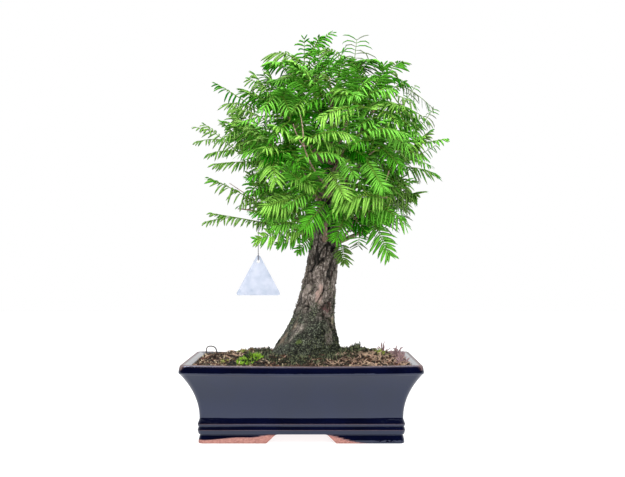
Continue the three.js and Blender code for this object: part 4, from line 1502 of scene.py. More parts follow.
        # a needle is paler and duller beneath, where it has no wax
        underside = Needle("pale underside of a needle", "#4c8f27", 0.6, 1.12).dress()
        for tone in Tone:
            sprays = [s for s in self.sprays if s.tone is tone]
            finish = Needle(f"needle green {tone.name.lower()}", tone.value, ior=tone.gloss)
            make_piece(f"needles_{tone.name.lower()}", self.needles(sprays), finish.dress(),
                       stands_for, underside)
        green, woody = self.stalks()
        # this year's stalks are soft, yellow green and dull
        stalk = Needle("soft green stalk", "#64852f", 0.6, 1.15)
        make_piece("spray_stalks", green, stalk.dress())
        make_piece("crown_stems", woody, young)


@dataclass
class Trunk:
    """The trunk with its bark, and the boughs."""

    plan: CrownPlan
    columns: int = 220
    rows: int = 400
    bough_sides: int = 14
    bough_places: int = 26
    furrow_depth: float = 2.1
    crack_depth: float = 1.3
    tuft_height: float = 4.6
    moss_height: float = 148.0
    # boxes of the noise that makes furrows, fine cracks, cross splits and plates
    grains: tuple[tuple[float, float, float], ...] = (
        (7, 7, 24), (3.4, 3.4, 8), (6, 6, 5), (4, 4, 9),
    )
    # height, degrees from the front towards the right, half height, half width, share name
    patches: tuple[tuple[float, float, float, float, str], ...] = (
        (185, 8, 15, 13, "peel"), (118, -60, 20, 24, "warm"), (150, -50, 14, 14, "warm"),
        (170, 42, 11, 19, "maroon"), (216, 52, 5, 10, "maroon"), (152, 70, 6, 9, "cream"),
        (140, -62, 5, 7, "cream"), (226, -62, 12, 9, "warm"), (127, -15, 4, 5, "lush"),
        (215, 160, 16, 20, "peel"), (175, -130, 14, 18, "warm"),
    )

    def bark(self) -> Surface:
        """The trunk's skin: rings round its middle line whose radius is the solid's, less
        furrows and plus strips of bark. Strips are noise drawn out upwards; furrows lie
        where such a noise passes one half; plates are noise cut into steps; and moss is
        fine bumps on the lower half.

        Returns:
            The closed skin, with the shares of its finish.
        """
        share = np.linspace(0, 1, self.rows)
        z = blend(self.plan.trunk.foot, self.plan.trunk.tip, share**1.08)
        turn = np.arange(self.columns) / self.columns * 2 * np.pi
        zz, aa = np.meshgrid(z, turn, indexing="ij")
        line = self.plan.trunk
        radius = line.thickness(zz) * line.lobes(zz, -aa)
        out = np.stack([np.cos(aa), np.sin(aa), np.zeros_like(aa)], -1)
        skin = out * radius[..., None] + UP * zz[..., None]
        warped = skin + 9 * (ragged(skin, 22, 5)[..., None] - 0.5)
        slim = line.thickness(zz) / line.radius
        furrows, cracks, splits, plates = self.grains
        deep = furrow(noise(warped, furrows, 11), blend(0.2, 0.27, smooth((zz - 190) / 30)))
        fine = furrow(noise(warped, cracks, 12), 0.3)
        split = furrow(noise(warped, splits, 13), 0.16) * smooth(noise(skin, 12, 14) * 3 - 1.0)
        plate = noise(warped, plates, 15) * 3
        plate = np.floor(plate) + smooth((plate - np.floor(plate)) * 3)
        height = self.moss_height + 52 * noise(skin, 30, 21) + 26 * noise(skin, 9, 22)
        moss = smooth((height - zz) / 46) * (0.25 + 0.75 * smooth(noise(skin, 13, 23) * 2.4 - 0.4))
        tufts = ragged(skin, 3.6, 31, 2)
        relief = (plate - 1.5) - self.furrow_depth * deep - self.crack_depth * fine
        relief = relief - self.crack_depth * split + 0.9
        relief = blend(relief, self.tuft_height * (tufts - 0.5) - 0.8 * deep, 0.8 * moss)
        relief *= np.clip(slim, 0.2, 1.0) * smooth((line.tip - zz) / 14)
        points = out * np.maximum(radius + relief, 0.4)[..., None] + line.centre(zz)
        # painted shade: the furrow share paints the furrows, cracks and splits near black, and the pits
        # between the moss bumps
        painted_crack_shade = np.clip(0.85 * deep + 0.5 * fine + 0.6 * split, 0, 1) * (1 - 0.55 * moss)
        dark = smooth(1.7 - 3.0 * tufts) * moss * 0.85
        shares = {"furrow": np.maximum(painted_crack_shade, dark), "moss": moss}
        for name in ("warm", "peel", "maroon", "cream", "lush"):
            shares[name] = np.zeros_like(zz)
        front = np.degrees(aa) + 90
        for z0, angle, tall, wide, name in self.patches:
            off = (front - angle + 540) % 360 - 180
            spot = ((zz - z0) / tall) ** 2 + (off / wide) ** 2
            torn = smooth(1.2 - spot - 3.2 * (ragged(skin, 5, 41) - 0.5))
            shares[name] = np.maximum(shares[name], 0.75 * torn)
        surface = ring_stack(points, line.centre(line.foot), line.centre(line.tip))
        surface.shares = {n: np.append(v.ravel(), [0.0, 0.0]) for n, v in shares.items()}
        return surface

    def boughs(self) -> Surface:
        """Every bough as a tapering limb from inside the trunk, with a collar where it
        leaves it and a skin roughened by noise.

        Returns:
            All boughs as one surface.
        """
        share = np.linspace(0, 1, self.bough_places)
        places = [p for p in self.plan.places if p.ring]
        paths = np.array([bow((p.root, p.through, p.tip), share) for p in places])
        thick = np.array([self.plan.bough_thickness(p.ring, share) for p in places])
        bare = np.linalg.norm((paths - self.plan.trunk.centre(paths[..., 2]))[..., :2], axis=-1)
        collar = np.exp(-np.maximum(bare - self.plan.trunk.thickness(paths[..., 2]), 0) / 5)
        surface = tubes(paths, thick * (1 + 0.3 * collar), self.bough_sides)
        middle = np.repeat(paths.reshape(-1, 3), self.bough_sides, 0)
        out = surface.points - middle
        knobs = 0.82 + 0.36 * ragged(surface.points, 5, 51)
        surface.points = middle + out * knobs[:, None]
        return surface

    def build(self, nodes: Sequence[str], young: Material) -> None:
        """Makes the bark, and the boughs that stand for the named solids of the frame."""
        make_piece("trunk_bark", self.bark(), Bark().dress(), ("trunk",))
        make_piece("bough_bark", self.boughs(), young, nodes)


@dataclass
class Pot:
    """The glazed oblong pot: flared walls over two mouldings, on four feet."""

    length: float = 310.0
    width: float = 230.0
    height: float = 102.0
    corner: float = 9.0
    waist: float = 24.2
    wall: float = 10.0
    floor_top: float = 20.0
    foot_height: float = 11.5
    skirt: float = 16.0
    drain_radius: float = 11.0
    drain_apart: float = 130.0
    long_arch: tuple[float, float] = (90.0, 63.0)
    short_arch: tuple[float, float] = (78.0, 52.0)
    arc_points: int = 9
    sag: float = 1.7
    wobble: float = 1.5
    # the wiped foot: under this height the middle is bare, and the line waves by this much
    recess_top: float = 12.2
    line_wave: float = 1.6
    mouldings: tuple[float, float] = (17.0, 24.8)

    def profile(self) -> Array:
        """The pot's section from the foot's edge up over the rim and down inside, as inset
        and height: a foot that splays a little, two mouldings that slope out and turn in
        short, a wall that flares with a power of its height, and a rounded rim.

        Returns:
            One row of inset and height for each place.
        """
        waist = self.waist
        knots = np.array([
            (-0.1, 0.0), (-0.7, 0.5), (-0.9, 1.5), (-0.7, 4.6), (0.2, 8.4), (0.8, 10.7), (0.6, 11.3),
            (-0.7, 11.8), (-1.8, 16.0), (-2.0, 16.9), (-1.9, 17.5), (-0.8, 20.9), (-0.5, 21.3),
            (-1.3, 21.8), (-1.9, 24.1), (-2.0, 24.8), (-1.8, 25.3), (-0.1, 30.1), (0.2, 31.2),
        ]) + [waist, 0.0]
        along = np.cumsum(np.r_[0, np.hypot(*np.diff(knots, axis=0).T)])
        steps = np.linspace(0, along[-1], 92)
        lower = np.stack([np.interp(steps, along, knots[:, i]) for i in (0, 1)], -1)
        lower[1:-1] = (lower[:-2] + 2 * lower[1:-1] + lower[2:]) / 4
        t = np.linspace(0, 1, 34)[1:]
        wall = np.stack([blend(waist + 0.2, 1.3, t**2.1), blend(31.4, 89.9, t)], -1)
        upper = [
            (0.6, 90.3), (0.15, 91.0), (0.0, 92.0), (0.05, 92.8), (0.25, 94.4), (0.6, 96.6),
            (1.0, 98.4), (1.35, 99.6), (1.8, 100.6), (2.6, 101.4), (3.8, 101.8), (5.6, 101.8),
            (8.0, 101.3), (11.0, 100.4), (13.2, 99.6), (14.2, 98.6), (14.7, 96.0), (20.0, 74.0),
            (waist + self.wall, self.floor_top + 4), (waist + self.wall + 4, self.floor_top),
        ]
        return np.concatenate([lower, wall, upper])

    def plan_ring(self, inset: Array) -> Array:
        """The pot's plan at each inset: a rectangle with round corners, its sides divided
        more closely beside the corners.

        Args:
            inset: how far each ring stands in from the rim.

        Returns:
            Points as (ring, place on it, xy), anticlockwise.
        """
        inset = np.asarray(inset, float)[:, None]
        round_by = np.maximum(4.0, self.corner - 0.1 * inset)
        x = self.length / 2 - inset - round_by
        y = self.width / 2 - inset - round_by
        arcs = []
        for quarter, (sx, sy) in enumerate([(1, 1), (-1, 1), (-1, -1), (1, -1)]):
            turn = np.radians(np.linspace(0, 90, self.arc_points) + 90 * quarter)
            arcs.append(
                np.stack([sx * x + round_by * np.cos(turn), sy * y + round_by * np.sin(turn)], -1)
            )
        rings = []
        steps = np.linspace(0, 1, 37)[1:-1]
        steps = np.r_[0.006, steps, 0.994][None, :, None]
        for arc, following in zip(arcs, arcs[1:] + arcs[:1]):
            rings += [arc, blend(arc[:, -1:], following[:, :1], steps)]
        return np.concatenate(rings, 1)

    def shell(self) -> Surface:
        """The pot before its feet are cut: the plan carried up its section. The long sides
        sag towards their middle, and the wall wobbles as a handmade one does.

        Returns:
            The closed shell.
        """
        profile = self.profile()
        plan = self.plan_ring(profile[:, 0])
        z = np.broadcast_to(profile[:, 1][:, None, None], (*plan.shape[:2], 1))
        rings = np.concatenate([plan, z], -1)
        high = smooth((rings[..., 2] - 20) / 80)
        sag = self.sag * high * np.maximum(0, 1 - (rings[..., 0] / 148) ** 2)
        wobble = self.wobble * (noise(rings * [1, 1, 0.4], 58, 63) - 0.5)
        wobble *= smooth((rings[..., 2] - 13) / 6) * smooth((97 - rings[..., 2]) / 40)
        rings[..., 2] += wobble - sag
        return ring_stack(rings, np.zeros(3), UP * self.floor_top)

    def prism(self, outline: Sequence[tuple[float, float]], run: float, along_y: bool) -> Surface:
        """A straight bar of the given outline, centred on the pot.

        Args:
            outline: its corners across and up, in mm.
            run: its length.
            along_y: True where it runs front to back.

        Returns:
            A closed bar for cutting.
        """
        flat = np.array(outline, float)
        ends = []
        for far in (-run / 2, run / 2):
            deep = np.full(len(flat), far)
            parts = (flat[:, 0], deep, flat[:, 1]) if along_y else (deep, flat[:, 0], flat[:, 1])
            ends.append(np.stack(parts, -1))
        rings = np.array(ends)
        return ring_stack(rings, rings[0].mean(0), rings[1].mean(0))

    def arch(self, sizes: tuple[float, float]) -> list[tuple[float, float]]:
        """Outline of an arch between two feet: straight slopes that ease into its top.

        Args:
            sizes: its width at the soles and at its top.

        Returns:
            Its corners across and up.
        """
        wide, narrow = sizes
        top = self.foot_height
        right = [(wide / 2 + 1, -1.0)]
        right += [(narrow / 2 + x, top * z) for x, z in ((3.2, 0.82), (1.4, 0.94), (-1, 0.99), (-3, 1))]
        return right + [(-x, z) for x, z in reversed(right)]

    def cutters(self) -> list[Surface]:
        """The bars and rods that cut the arches, the hollow foot and the drain holes.

        Returns:
            Closed surfaces.
        """
        half_x = self.length / 2 - self.waist - self.skirt
        half_y = self.width / 2 - self.waist - self.skirt
        top = self.foot_height
        hollow = [(-half_x, -1), (half_x, -1), (half_x, top), (-half_x, top)]
        bars = [
            self.prism(self.arch(self.long_arch), self.width + 10, True),
            self.prism(self.arch(self.short_arch), self.length + 10, False),
            self.prism(hollow, 2 * half_y, True),
        ]
        turn = np.arange(32) / 32 * 2 * np.pi
        for side in (-1, 1):
            ring = np.stack(
                [self.drain_radius * np.cos(turn) + side * self.drain_apart / 2,
                 self.drain_radius * np.sin(turn)], -1
            )
            rings = np.array([np.c_[ring, np.full(32, z)] for z in (-5.0, 40.0)])
            bars.append(ring_stack(rings, rings[0].mean(0), rings[1].mean(0)))
        return bars

    def cut(self, surface: Surface) -> Surface:
        """Cuts the bars out of a surface with Boolean modifiers.

        Args:
            surface: the closed shell.

        Returns:
            The cut surface, in triangles.
        """
        body = loose_object("pot_blank", surface)
        tools = [loose_object(f"cutter_{i}", part) for i, part in enumerate(self.cutters())]
        for tool in tools:
            step = body.modifiers.new(tool.name, "BOOLEAN")
            step.operation = "DIFFERENCE"
            step.solver = "EXACT"
            step.object = tool
        graph = bpy.context.evaluated_depsgraph_get()
        made = bpy.data.meshes.new_from_object(body.evaluated_get(graph))
        made.calc_loop_triangles()
        points = np.zeros(len(made.vertices) * 3)
        made.vertices.foreach_get("co", points)
        triangles = np.zeros(len(made.loop_triangles) * 3, np.int32)
        made.loop_triangles.foreach_get("vertices", triangles)
        for item in (body, *tools):
            bpy.data.objects.remove(item)
        return Surface(points.reshape(-1, 3), triangles=triangles.reshape(-1, 3))

    def build(self) -> None:
        """Makes the pot, with the shares that tell thin glaze and bare clay. Clay is bare
        below a line that climbs from the pot's ends in steps, and inside the foot; glaze is
        thin on the rim and the mouldings, and runs show at the ends and under the rim."""
        surface = self.cut(self.shell())
        p = surface.points
        lip = self.length / 2 - np.abs(p[:, 0])
        lip = np.minimum(lip, self.width / 2 - np.abs(p[:, 1]))
        rim = smooth(1 - np.abs(lip - 4.4) / 3.4) * (p[:, 2] > 96)
        beads = sum(smooth(1 - np.abs(p[:, 2] - z) / 0.8) for z in self.mouldings)
        left = 5.0 + 3.2 * smooth((p[:, 0] + 128) / 55) + 3.4 * smooth((p[:, 0] + 62) / 22)
        right = 10.0 * smooth(1 - (p[:, 0] - 28) / 52) + 1.8 * smooth(1 - (p[:, 0] - 70) / 40) - 0.4
        line = np.where(p[:, 0] < 0, left, right) + self.line_wave * (noise(p, 17, 61) - 0.5)
        under = (np.abs(p[:, 0]) < self.length / 2 - self.waist - 3) & (
            np.abs(p[:, 1]) < self.width / 2 - self.waist - 3
        )
        bare = np.maximum(smooth((line - p[:, 2]) / 1.2), under & (p[:, 2] < self.recess_top))
        inside = under & (p[:, 2] > self.recess_top) & (p[:, 2] < 90)
        ends = smooth((np.abs(p[:, 0]) - 84) / 30) * smooth((32 - p[:, 2]) / 2)
        surface.shares = {
            "runs": np.maximum(3.2 * ends, 1.2 * (p[:, 2] > 91)),
            "edge": np.clip(1.7 * rim + 0.4 * beads, 0, 1),
            "bare": np.maximum(bare, inside).astype(float),
        }
        make_piece("pot_glazed", surface, CobaltGlaze().dress(), ("pot",), soft_edges=34)


def loose_object(name: str, surface: Surface) -> Object:
    """A bare object for cutting, with its faces turned outwards.

    Args:
        name: its name.
        surface: its points in mm, and faces.

    Returns:
        The object.
    """
    mesh = bpy.data.meshes.new(name)
    faces = surface.quads.tolist() + surface.triangles.tolist()
    mesh.from_pydata(surface.points.tolist(), [], faces)
    turned = bmesh.new()
    turned.from_mesh(mesh)
    bmesh.ops.recalc_face_normals(turned, faces=turned.faces)
    turned.to_mesh(mesh)
    turned.free()
    body = bpy.data.objects.new(name, mesh)
    bpy.context.scene.collection.objects.link(body)
    return body


@dataclass
class Ground:
    """The soil in the pot, with moss, fallen needles and crumbs on it."""

    plan: CrownPlan
    half_x: float = 140.4
    half_y: float = 100.4
    foot_x: float = 120.9
    foot_y: float = 80.9
    corner: float = 5.0
    edge: float = 99.5
    crest: float = 108.0
    plateau: float = 62.0
    floor: float = 20.3
    # heights of its forms: waves, hummocks, mound, cushion, crumbs and pads of moss
    swell: float = 1.2
    tuft: float = 3.1
    mound: float = 3.4
    cushion: float = 8.0
    crumb: float = 5.4
    pad: float = 1.6
    pitch: float = 5.4
    columns: int = 234
    rows: int = 168
    # nothing is scattered nearer than this to the trunk's middle, or to the wall
    trunk_room: float = 40.0
    wall_room: float = 2.0
    # middle and half width of each streak of yellow-green moss, across and in depth
    streaks: tuple[tuple[tuple[float, float], tuple[float, float]], ...] = (
        ((-88, 20), (16, 34)), ((-96, -62), (12, 20)), ((104, 34), (14, 30)), ((-20, 84), (40, 14)),
    )
    rng: np.random.Generator = field(default_factory=lambda: np.random.default_rng(7))

    def level(self, x: Array, y: Array) -> Array:
        """Points at height 0, for reading noise."""
        return np.stack([x, y, np.zeros_like(x)], -1)

    def spot(self, x: Array, y: Array, middle: tuple[float, float],
             half: tuple[float, float]) -> Array:
        """A patch: 1 in its middle, falling off as a bell curve of the half widths."""
        return np.exp(-(((x - middle[0]) / half[0]) ** 2) - ((y - middle[1]) / half[1]) ** 2)

    def height(self, x: Array, y: Array) -> Array:
        """Height of the soil: from the crest round the trunk it eases down to the rim, with
        slow waves, a mound and a cushion to the right, and rows of hummocks that wander;
        crumbs and moss roughen it.

        Args:
            x: places across, in mm.
            y: places in depth.

        Returns:
            Heights above the pot's feet.
        """
        far = np.hypot(x, y) + 1e-6
        rim = 1 / np.maximum(np.abs(x) / far / self.half_x, np.abs(y) / far / self.half_y)
        share = np.clip((far - self.plateau) / (rim - self.plateau), 0, 1)
        swell = np.sin(x / 19 + 1.3) * np.cos(y / 23) + 0.6 * np.sin(x / 9 - y / 13)
        mound = self.mound * self.spot(x, y, (88, 30), (38, 45))
        cushion = self.cushion * self.spot(x, y, (70, -4), (13, 20))
        rows = np.sin(x / self.pitch + 1.7 * np.sin(y / 31))
        rows = rows * np.sin(y / (0.94 * self.pitch) + 1.3 * np.sin(x / 37))
        level = blend(self.crest, self.edge, smooth(share))
        forms = self.swell * swell + mound + cushion + self.tuft * rows
        level = level + smooth(5 * share * (1 - share)) * forms
        places = self.level(x, y)
        pads = self.pad * self.moss(x, y) * (ragged(places, 11, 75) - 0.7)
        rough = self.crumb * (ragged(places, 6.5, 71, 4) - 0.5) + pads
        return level + (rough - 0.6) * smooth((rim - far) / 4)

    def moss(self, x: Array, y: Array) -> Array:
        """Share of dark moss: full near the trunk's foot, trailing off to the right.

        Args:
            x: places across, in mm.
            y: places in depth.

        Returns:
            A share for each place.
        """
        near = smooth((100 - np.hypot(x - 6, y * 0.85)) / 40)
        trail = self.spot(x, y, (84, 30), (40, 38))
        left = 0.75 * self.spot(x, y, (-104, 52), (34, 34))
        cover = np.maximum(np.maximum(near, trail), left)
        return cover * smooth(2.6 * noise(self.level(x, y), 13, 81) * cover - 0.15)

    def gold(self, x: Array, y: Array) -> Array:
        """Share of yellow-green moss, in streaks left and right of the trunk."""
        cover = sum(self.spot(x, y, middle, half) for middle, half in self.streaks)
        return smooth(2.2 * cover * noise(self.level(x, y), 8, 85) - 0.35)

    def bed(self) -> Surface:
        """The soil as one closed body: its top a grid whose corners are drawn in to the
        pot's, its sides sloped with the pot's walls and its floor flat.

        Returns:
            The bed, with the shares of its finish.
        """
        u = np.linspace(-1, 1, self.columns)
        v = np.linspace(-1, 1, self.rows)
        x, y = np.meshgrid(u * self.half_x, v * self.half_y)
        for _ in range(2):
            over = np.stack([np.abs(x) - self.half_x, np.abs(y) - self.half_y], -1) + self.corner
            far = np.linalg.norm(np.maximum(over, 0), axis=-1)
            outside = (over > 0).all(-1) & (far > self.corner)
            pull = np.where(outside, self.corner / np.maximum(far, 1e-6), 1)
            x = np.sign(x) * (np.abs(x) - np.maximum(over[..., 0], 0) * (1 - pull))
            y = np.sign(y) * (np.abs(y) - np.maximum(over[..., 1], 0) * (1 - pull))
        top = np.stack([x, y, self.height(x, y)], -1).reshape(-1, 3)
        number = np.arange(self.rows * self.columns).reshape(self.rows, self.columns)
        border = np.concatenate(
            [number[0, :-1], number[:-1, -1], number[-1, :0:-1], number[:0:-1, 0]]
        )
        foot = top[border] * [self.foot_x / self.half_x, self.foot_y / self.half_y, 0]
        foot = foot + UP * self.floor
        points = np.concatenate([top, foot, [UP * self.floor]])
        base = len(top) + np.arange(len(border))
        following = np.roll(border, -1)
        side = np.stack([base, np.roll(base, -1), following, border], -1)
        under = np.stack([np.full(len(base), len(points) - 1), np.roll(base, -1), base], -1)
        quads = np.concatenate([grid_faces(self.rows, self.columns, False), side])
        shares = {"moss": self.moss(points[:, 0], points[:, 1]),
                  "gold": 0.8 * self.gold(points[:, 0], points[:, 1])}
        return Surface(points, quads, under, shares)

    def scatter(self, count: int, spread: str) -> Array:
        """Places on the soil drawn by how thickly something lies there.

        Args:
            count: how many places.
            spread: which cover to follow: moss, gold, litter or crumbs.

        Returns:
            Points on the surface.
        """
        wide, deep = self.half_x - self.wall_room, self.half_y - self.wall_room
        x = self.rng.uniform(-wide, wide, count * 6)
        y = self.rng.uniform(-deep, deep, count * 6)
        wanted = {
            "moss": self.moss(x, y),
            "gold": self.gold(x, y),
            "litter": (1 - self.moss(x, y)) * (0.25 + 0.75 * smooth((x - 30 - 0.3 * y) / 40)),
            "crumbs": 1 - 0.8 * self.moss(x, y),
        }[spread]
        bare = np.hypot(x - self.plan.trunk.foot_x, y) > self.trunk_room
        chosen = np.flatnonzero((self.rng.uniform(0, 1, len(x)) < wanted) & bare)[:count]
        return np.stack([x[chosen], y[chosen], self.height(x[chosen], y[chosen])], -1)

    def tufts(self, roots: Array, out: Array, tall: float, width: float) -> Surface:
        """Short upright blades of moss that lean a little at random.

        Args:
            roots: where they stand.
            out: the direction that each grows in.
            tall: their usual height in mm.
            width: their width in mm.

        Returns:
            The blades.
        """
        lean = self.rng.normal(0, 0.45, roots.shape)
        way = unit(out + lean)
        size = tall * self.rng.uniform(0.6, 1.4, len(roots))[:, None, None]
        s = np.array([-0.25, 0.1, 0.45, 0.8, 1.0])[None, :, None]
        centres = roots[:, None] + way[:, None] * size * s + lean[:, None] * size * 0.3 * s * s
        plane = unit(self.rng.normal(0, 1, roots.shape))
        return blades(centres, plane, np.full(len(roots), width), 0.3)

    def litter(self, roots: Array, long: float, width: float, lift: float) -> Surface:
        """Fallen needles: thin blades that lie on the soil, bent sideways and upwards.

        Args:
            roots: where they lie.
            long: their usual length in mm.
            width: their width in mm.
            lift: how steeply they stick up.

        Returns:
            The blades.
        """
        turn = self.rng.uniform(0, 2 * np.pi, len(roots))
        way = np.stack([np.cos(turn), np.sin(turn), self.rng.uniform(0, lift, len(roots))], -1)
        bent = np.stack([-np.sin(turn), np.cos(turn), self.rng.uniform(-0.2, 0.6, len(roots))], -1)
        size = long * self.rng.uniform(0.5, 1.3, len(roots))[:, None, None]
        s = np.array([0.0, 0.25, 0.5, 0.78, 1.0])[None, :, None]
        curl = self.rng.normal(0, 0.3, len(roots))[:, None, None]
        centres = roots[:, None] + UP * 0.7 + way[:, None] * size * s
        centres = centres + bent[:, None] * curl * size * s * s
        inside = np.array([self.half_x - 1, self.half_y - 1])
        centres[..., :2] = np.clip(centres[..., :2], -inside, inside)
        floor = self.height(centres[..., 0], centres[..., 1]) + 0.3
        centres[..., 2] = np.maximum(centres[..., 2], floor)
        plane = bent + self.rng.normal(0, 0.4, roots.shape)
        return blades(centres, plane, np.full(len(roots), width), 0.25)

    def crumbs(self, roots: Array, size: float) -> Surface:
        """Crumbs of soil and grit: eight-sided stones, each squeezed and turned at random.

        Args:
            roots: where they lie.
            size: their usual radius in mm.

        Returns:
            The stones.
        """
        corners = np.array([[1, 0, 0], [-1, 0, 0], [0, 1, 0], [0, -1, 0], [0, 0, 1], [0, 0, -1]], float)
        faces = np.array([[0, 2, 4], [2, 1, 4], [1, 3, 4], [3, 0, 4], [2, 0, 5], [1, 2, 5],
                          [3, 1, 5], [0, 3, 5]])
        count = len(roots)
        stretch = self.rng.uniform(0.6, 1.3, (count, 6, 1)) * size
        stretch = stretch * self.rng.uniform(0.5, 1.5, (count, 1, 1))
        spin, _ = np.linalg.qr(self.rng.normal(0, 1, (count, 3, 3)))
        spin *= np.sign(np.linalg.det(spin))[:, None, None]
        stones = np.einsum("nij,nkj->nki", spin, corners * stretch)
        stones = stones + (roots + UP * size * 0.3)[:, None]
        triangles = (faces[None] + 6 * np.arange(count)[:, None, None]).reshape(-1, 3)
        return Surface(stones.reshape(-1, 3), triangles=triangles)

    def trunk_moss(self, count: int, high: float, kind: int) -> Surface:
        """Tufts of moss on the lower trunk in patches, thinning out upwards and towards the
        bare left flank.

        Args:
            count: how many.
            high: how far above the soil they reach.
            kind: seed of their patches.

        Returns:
            The tufts.
        """
        line = self.plan.trunk
        z = line.foot + high * self.rng.uniform(0, 1, count) ** 1.3
        turn = self.rng.uniform(0, 2 * np.pi, count)
        radius = line.thickness(z) * line.lobes(z, -turn) - 0.3
        out = np.stack([np.cos(turn), np.sin(turn), np.full(count, 0.5)], -1)
        flat = np.stack([np.cos(turn), np.sin(turn), np.zeros(count)], -1)
        roots = line.centre(z) + flat * radius[:, None]
        flank = np.cos(turn - np.radians(-90 - 62))
        cover = noise(roots, 15, kind) > 0.4 + 0.3 * smooth((flank - 0.55) / 0.35)
        return self.tufts(roots[cover], unit(out[cover]), 1.8, 1.2)

    def clump(self, x: float, y: float, wide: float, deep: float, count: int, tall: float,
              width: float) -> Surface:
        """A cushion or tuft of blades that fan out from its middle.

        Args:
            x: its middle across.
            y: its middle in depth.
            wide: its half width.
            deep: its half depth.
            count: how many blades.
            tall: their height.
            width: their width.

        Returns:
            The blades.
        """
        turn = self.rng.uniform(0, 2 * np.pi, count)
        far = np.sqrt(self.rng.uniform(0, 1, count))
        px, py = x + wide * far * np.cos(turn), y + deep * far * np.sin(turn)
        dome = 0.6 * tall * (1 - far**2)
        roots = np.stack([px, py, self.height(px, py) + dome], -1)
        out = np.stack([np.cos(turn) * far, np.sin(turn) * far, np.full(count, 0.9)], -1)
        return self.tufts(roots, unit(out), tall, width)

    def build(self) -> None:
        """Makes the soil and everything that grows or lies on it. Moss is matt: near black
        where it is damp and old, grey green where dry, yellow or fresh green where it grows.
        Fallen needles are dry and dull, the newest pale tan and the oldest rust. Grit is
        matt and pale, crumbs of clay are dark, and weeds dry to a purple grey."""
        make_piece("soil_bed", self.bed(), PottingSoil().dress(), ("soil",))
        pieces = (
            ("moss_dark", Finish("damp dark moss", "#1a1f15", 0.9), [
                self.tufts(self.scatter(4600, "moss"), UP, 2.8, 1.3),
                self.clump(62, -4, 17, 22, 420, 6.0, 1.4),
                self.clump(-67, -70, 12, 24, 110, 4.6, 1.6),
                self.trunk_moss(4600, 74.0, 91),
            ]),
            ("moss_grey", Finish("grey green moss", "#6c7355", 0.9), [
                self.tufts(self.scatter(1500, "moss"), UP, 3.0, 1.3),
                self.clump(62, -4, 17, 22, 130, 6.5, 1.4),
                self.trunk_moss(2000, 92.0, 92),
            ]),
            ("moss_gold", Finish("yellow green moss", "#8a9c34", 0.85), [
                self.tufts(self.scatter(900, "gold"), UP, 2.6, 1.2),
                self.clump(105, 4, 6, 8, 70, 3.4, 1.2),
                self.clump(121, 6, 5, 6, 60, 3.4, 1.2),
            ]),
            ("moss_lush", Finish("lush green moss", "#739d26", 0.85), [
                self.clump(-72, -80, 10, 15, 190, 3.2, 1.5),
                self.clump(-61, -60, 10, 17, 210, 3.6, 1.5),
                self.clump(-12, -38, 4, 3, 40, 3.0, 1.2),
            ]),
            ("fallen_needles", Finish("dead tan needle", "#c8a890", 0.8),
             [self.litter(self.scatter(860, "litter"), 9.0, 1.0, 0.6)]),
            ("rusty_needles", Finish("dead rust needle", "#6b4032", 0.8),
             [self.litter(self.scatter(560, "crumbs"), 9.5, 1.1, 0.25)]),
            ("pale_crumbs", Finish("pale grit", "#ab9b80", 0.9),
             [self.crumbs(self.scatter(520, "crumbs"), 1.3)]),
            ("brown_crumbs", Finish("dark clay grit", "#271c14", 0.9),
             [self.crumbs(self.scatter(1500, "crumbs"), 1.6)]),
            ("dry_weeds", Finish("dried purple weed", "#93787a", 0.85), [
                self.clump(112, 40, 4, 4, 26, 10.5, 1.6),
                self.clump(128, -10, 6, 12, 40, 10.0, 1.8),
                self.clump(131, -54, 5, 16, 34, 9.0, 1.8),
            ]),
        )
        for name, finish, parts in pieces:
            make_piece(name, joined(parts), finish.dress())


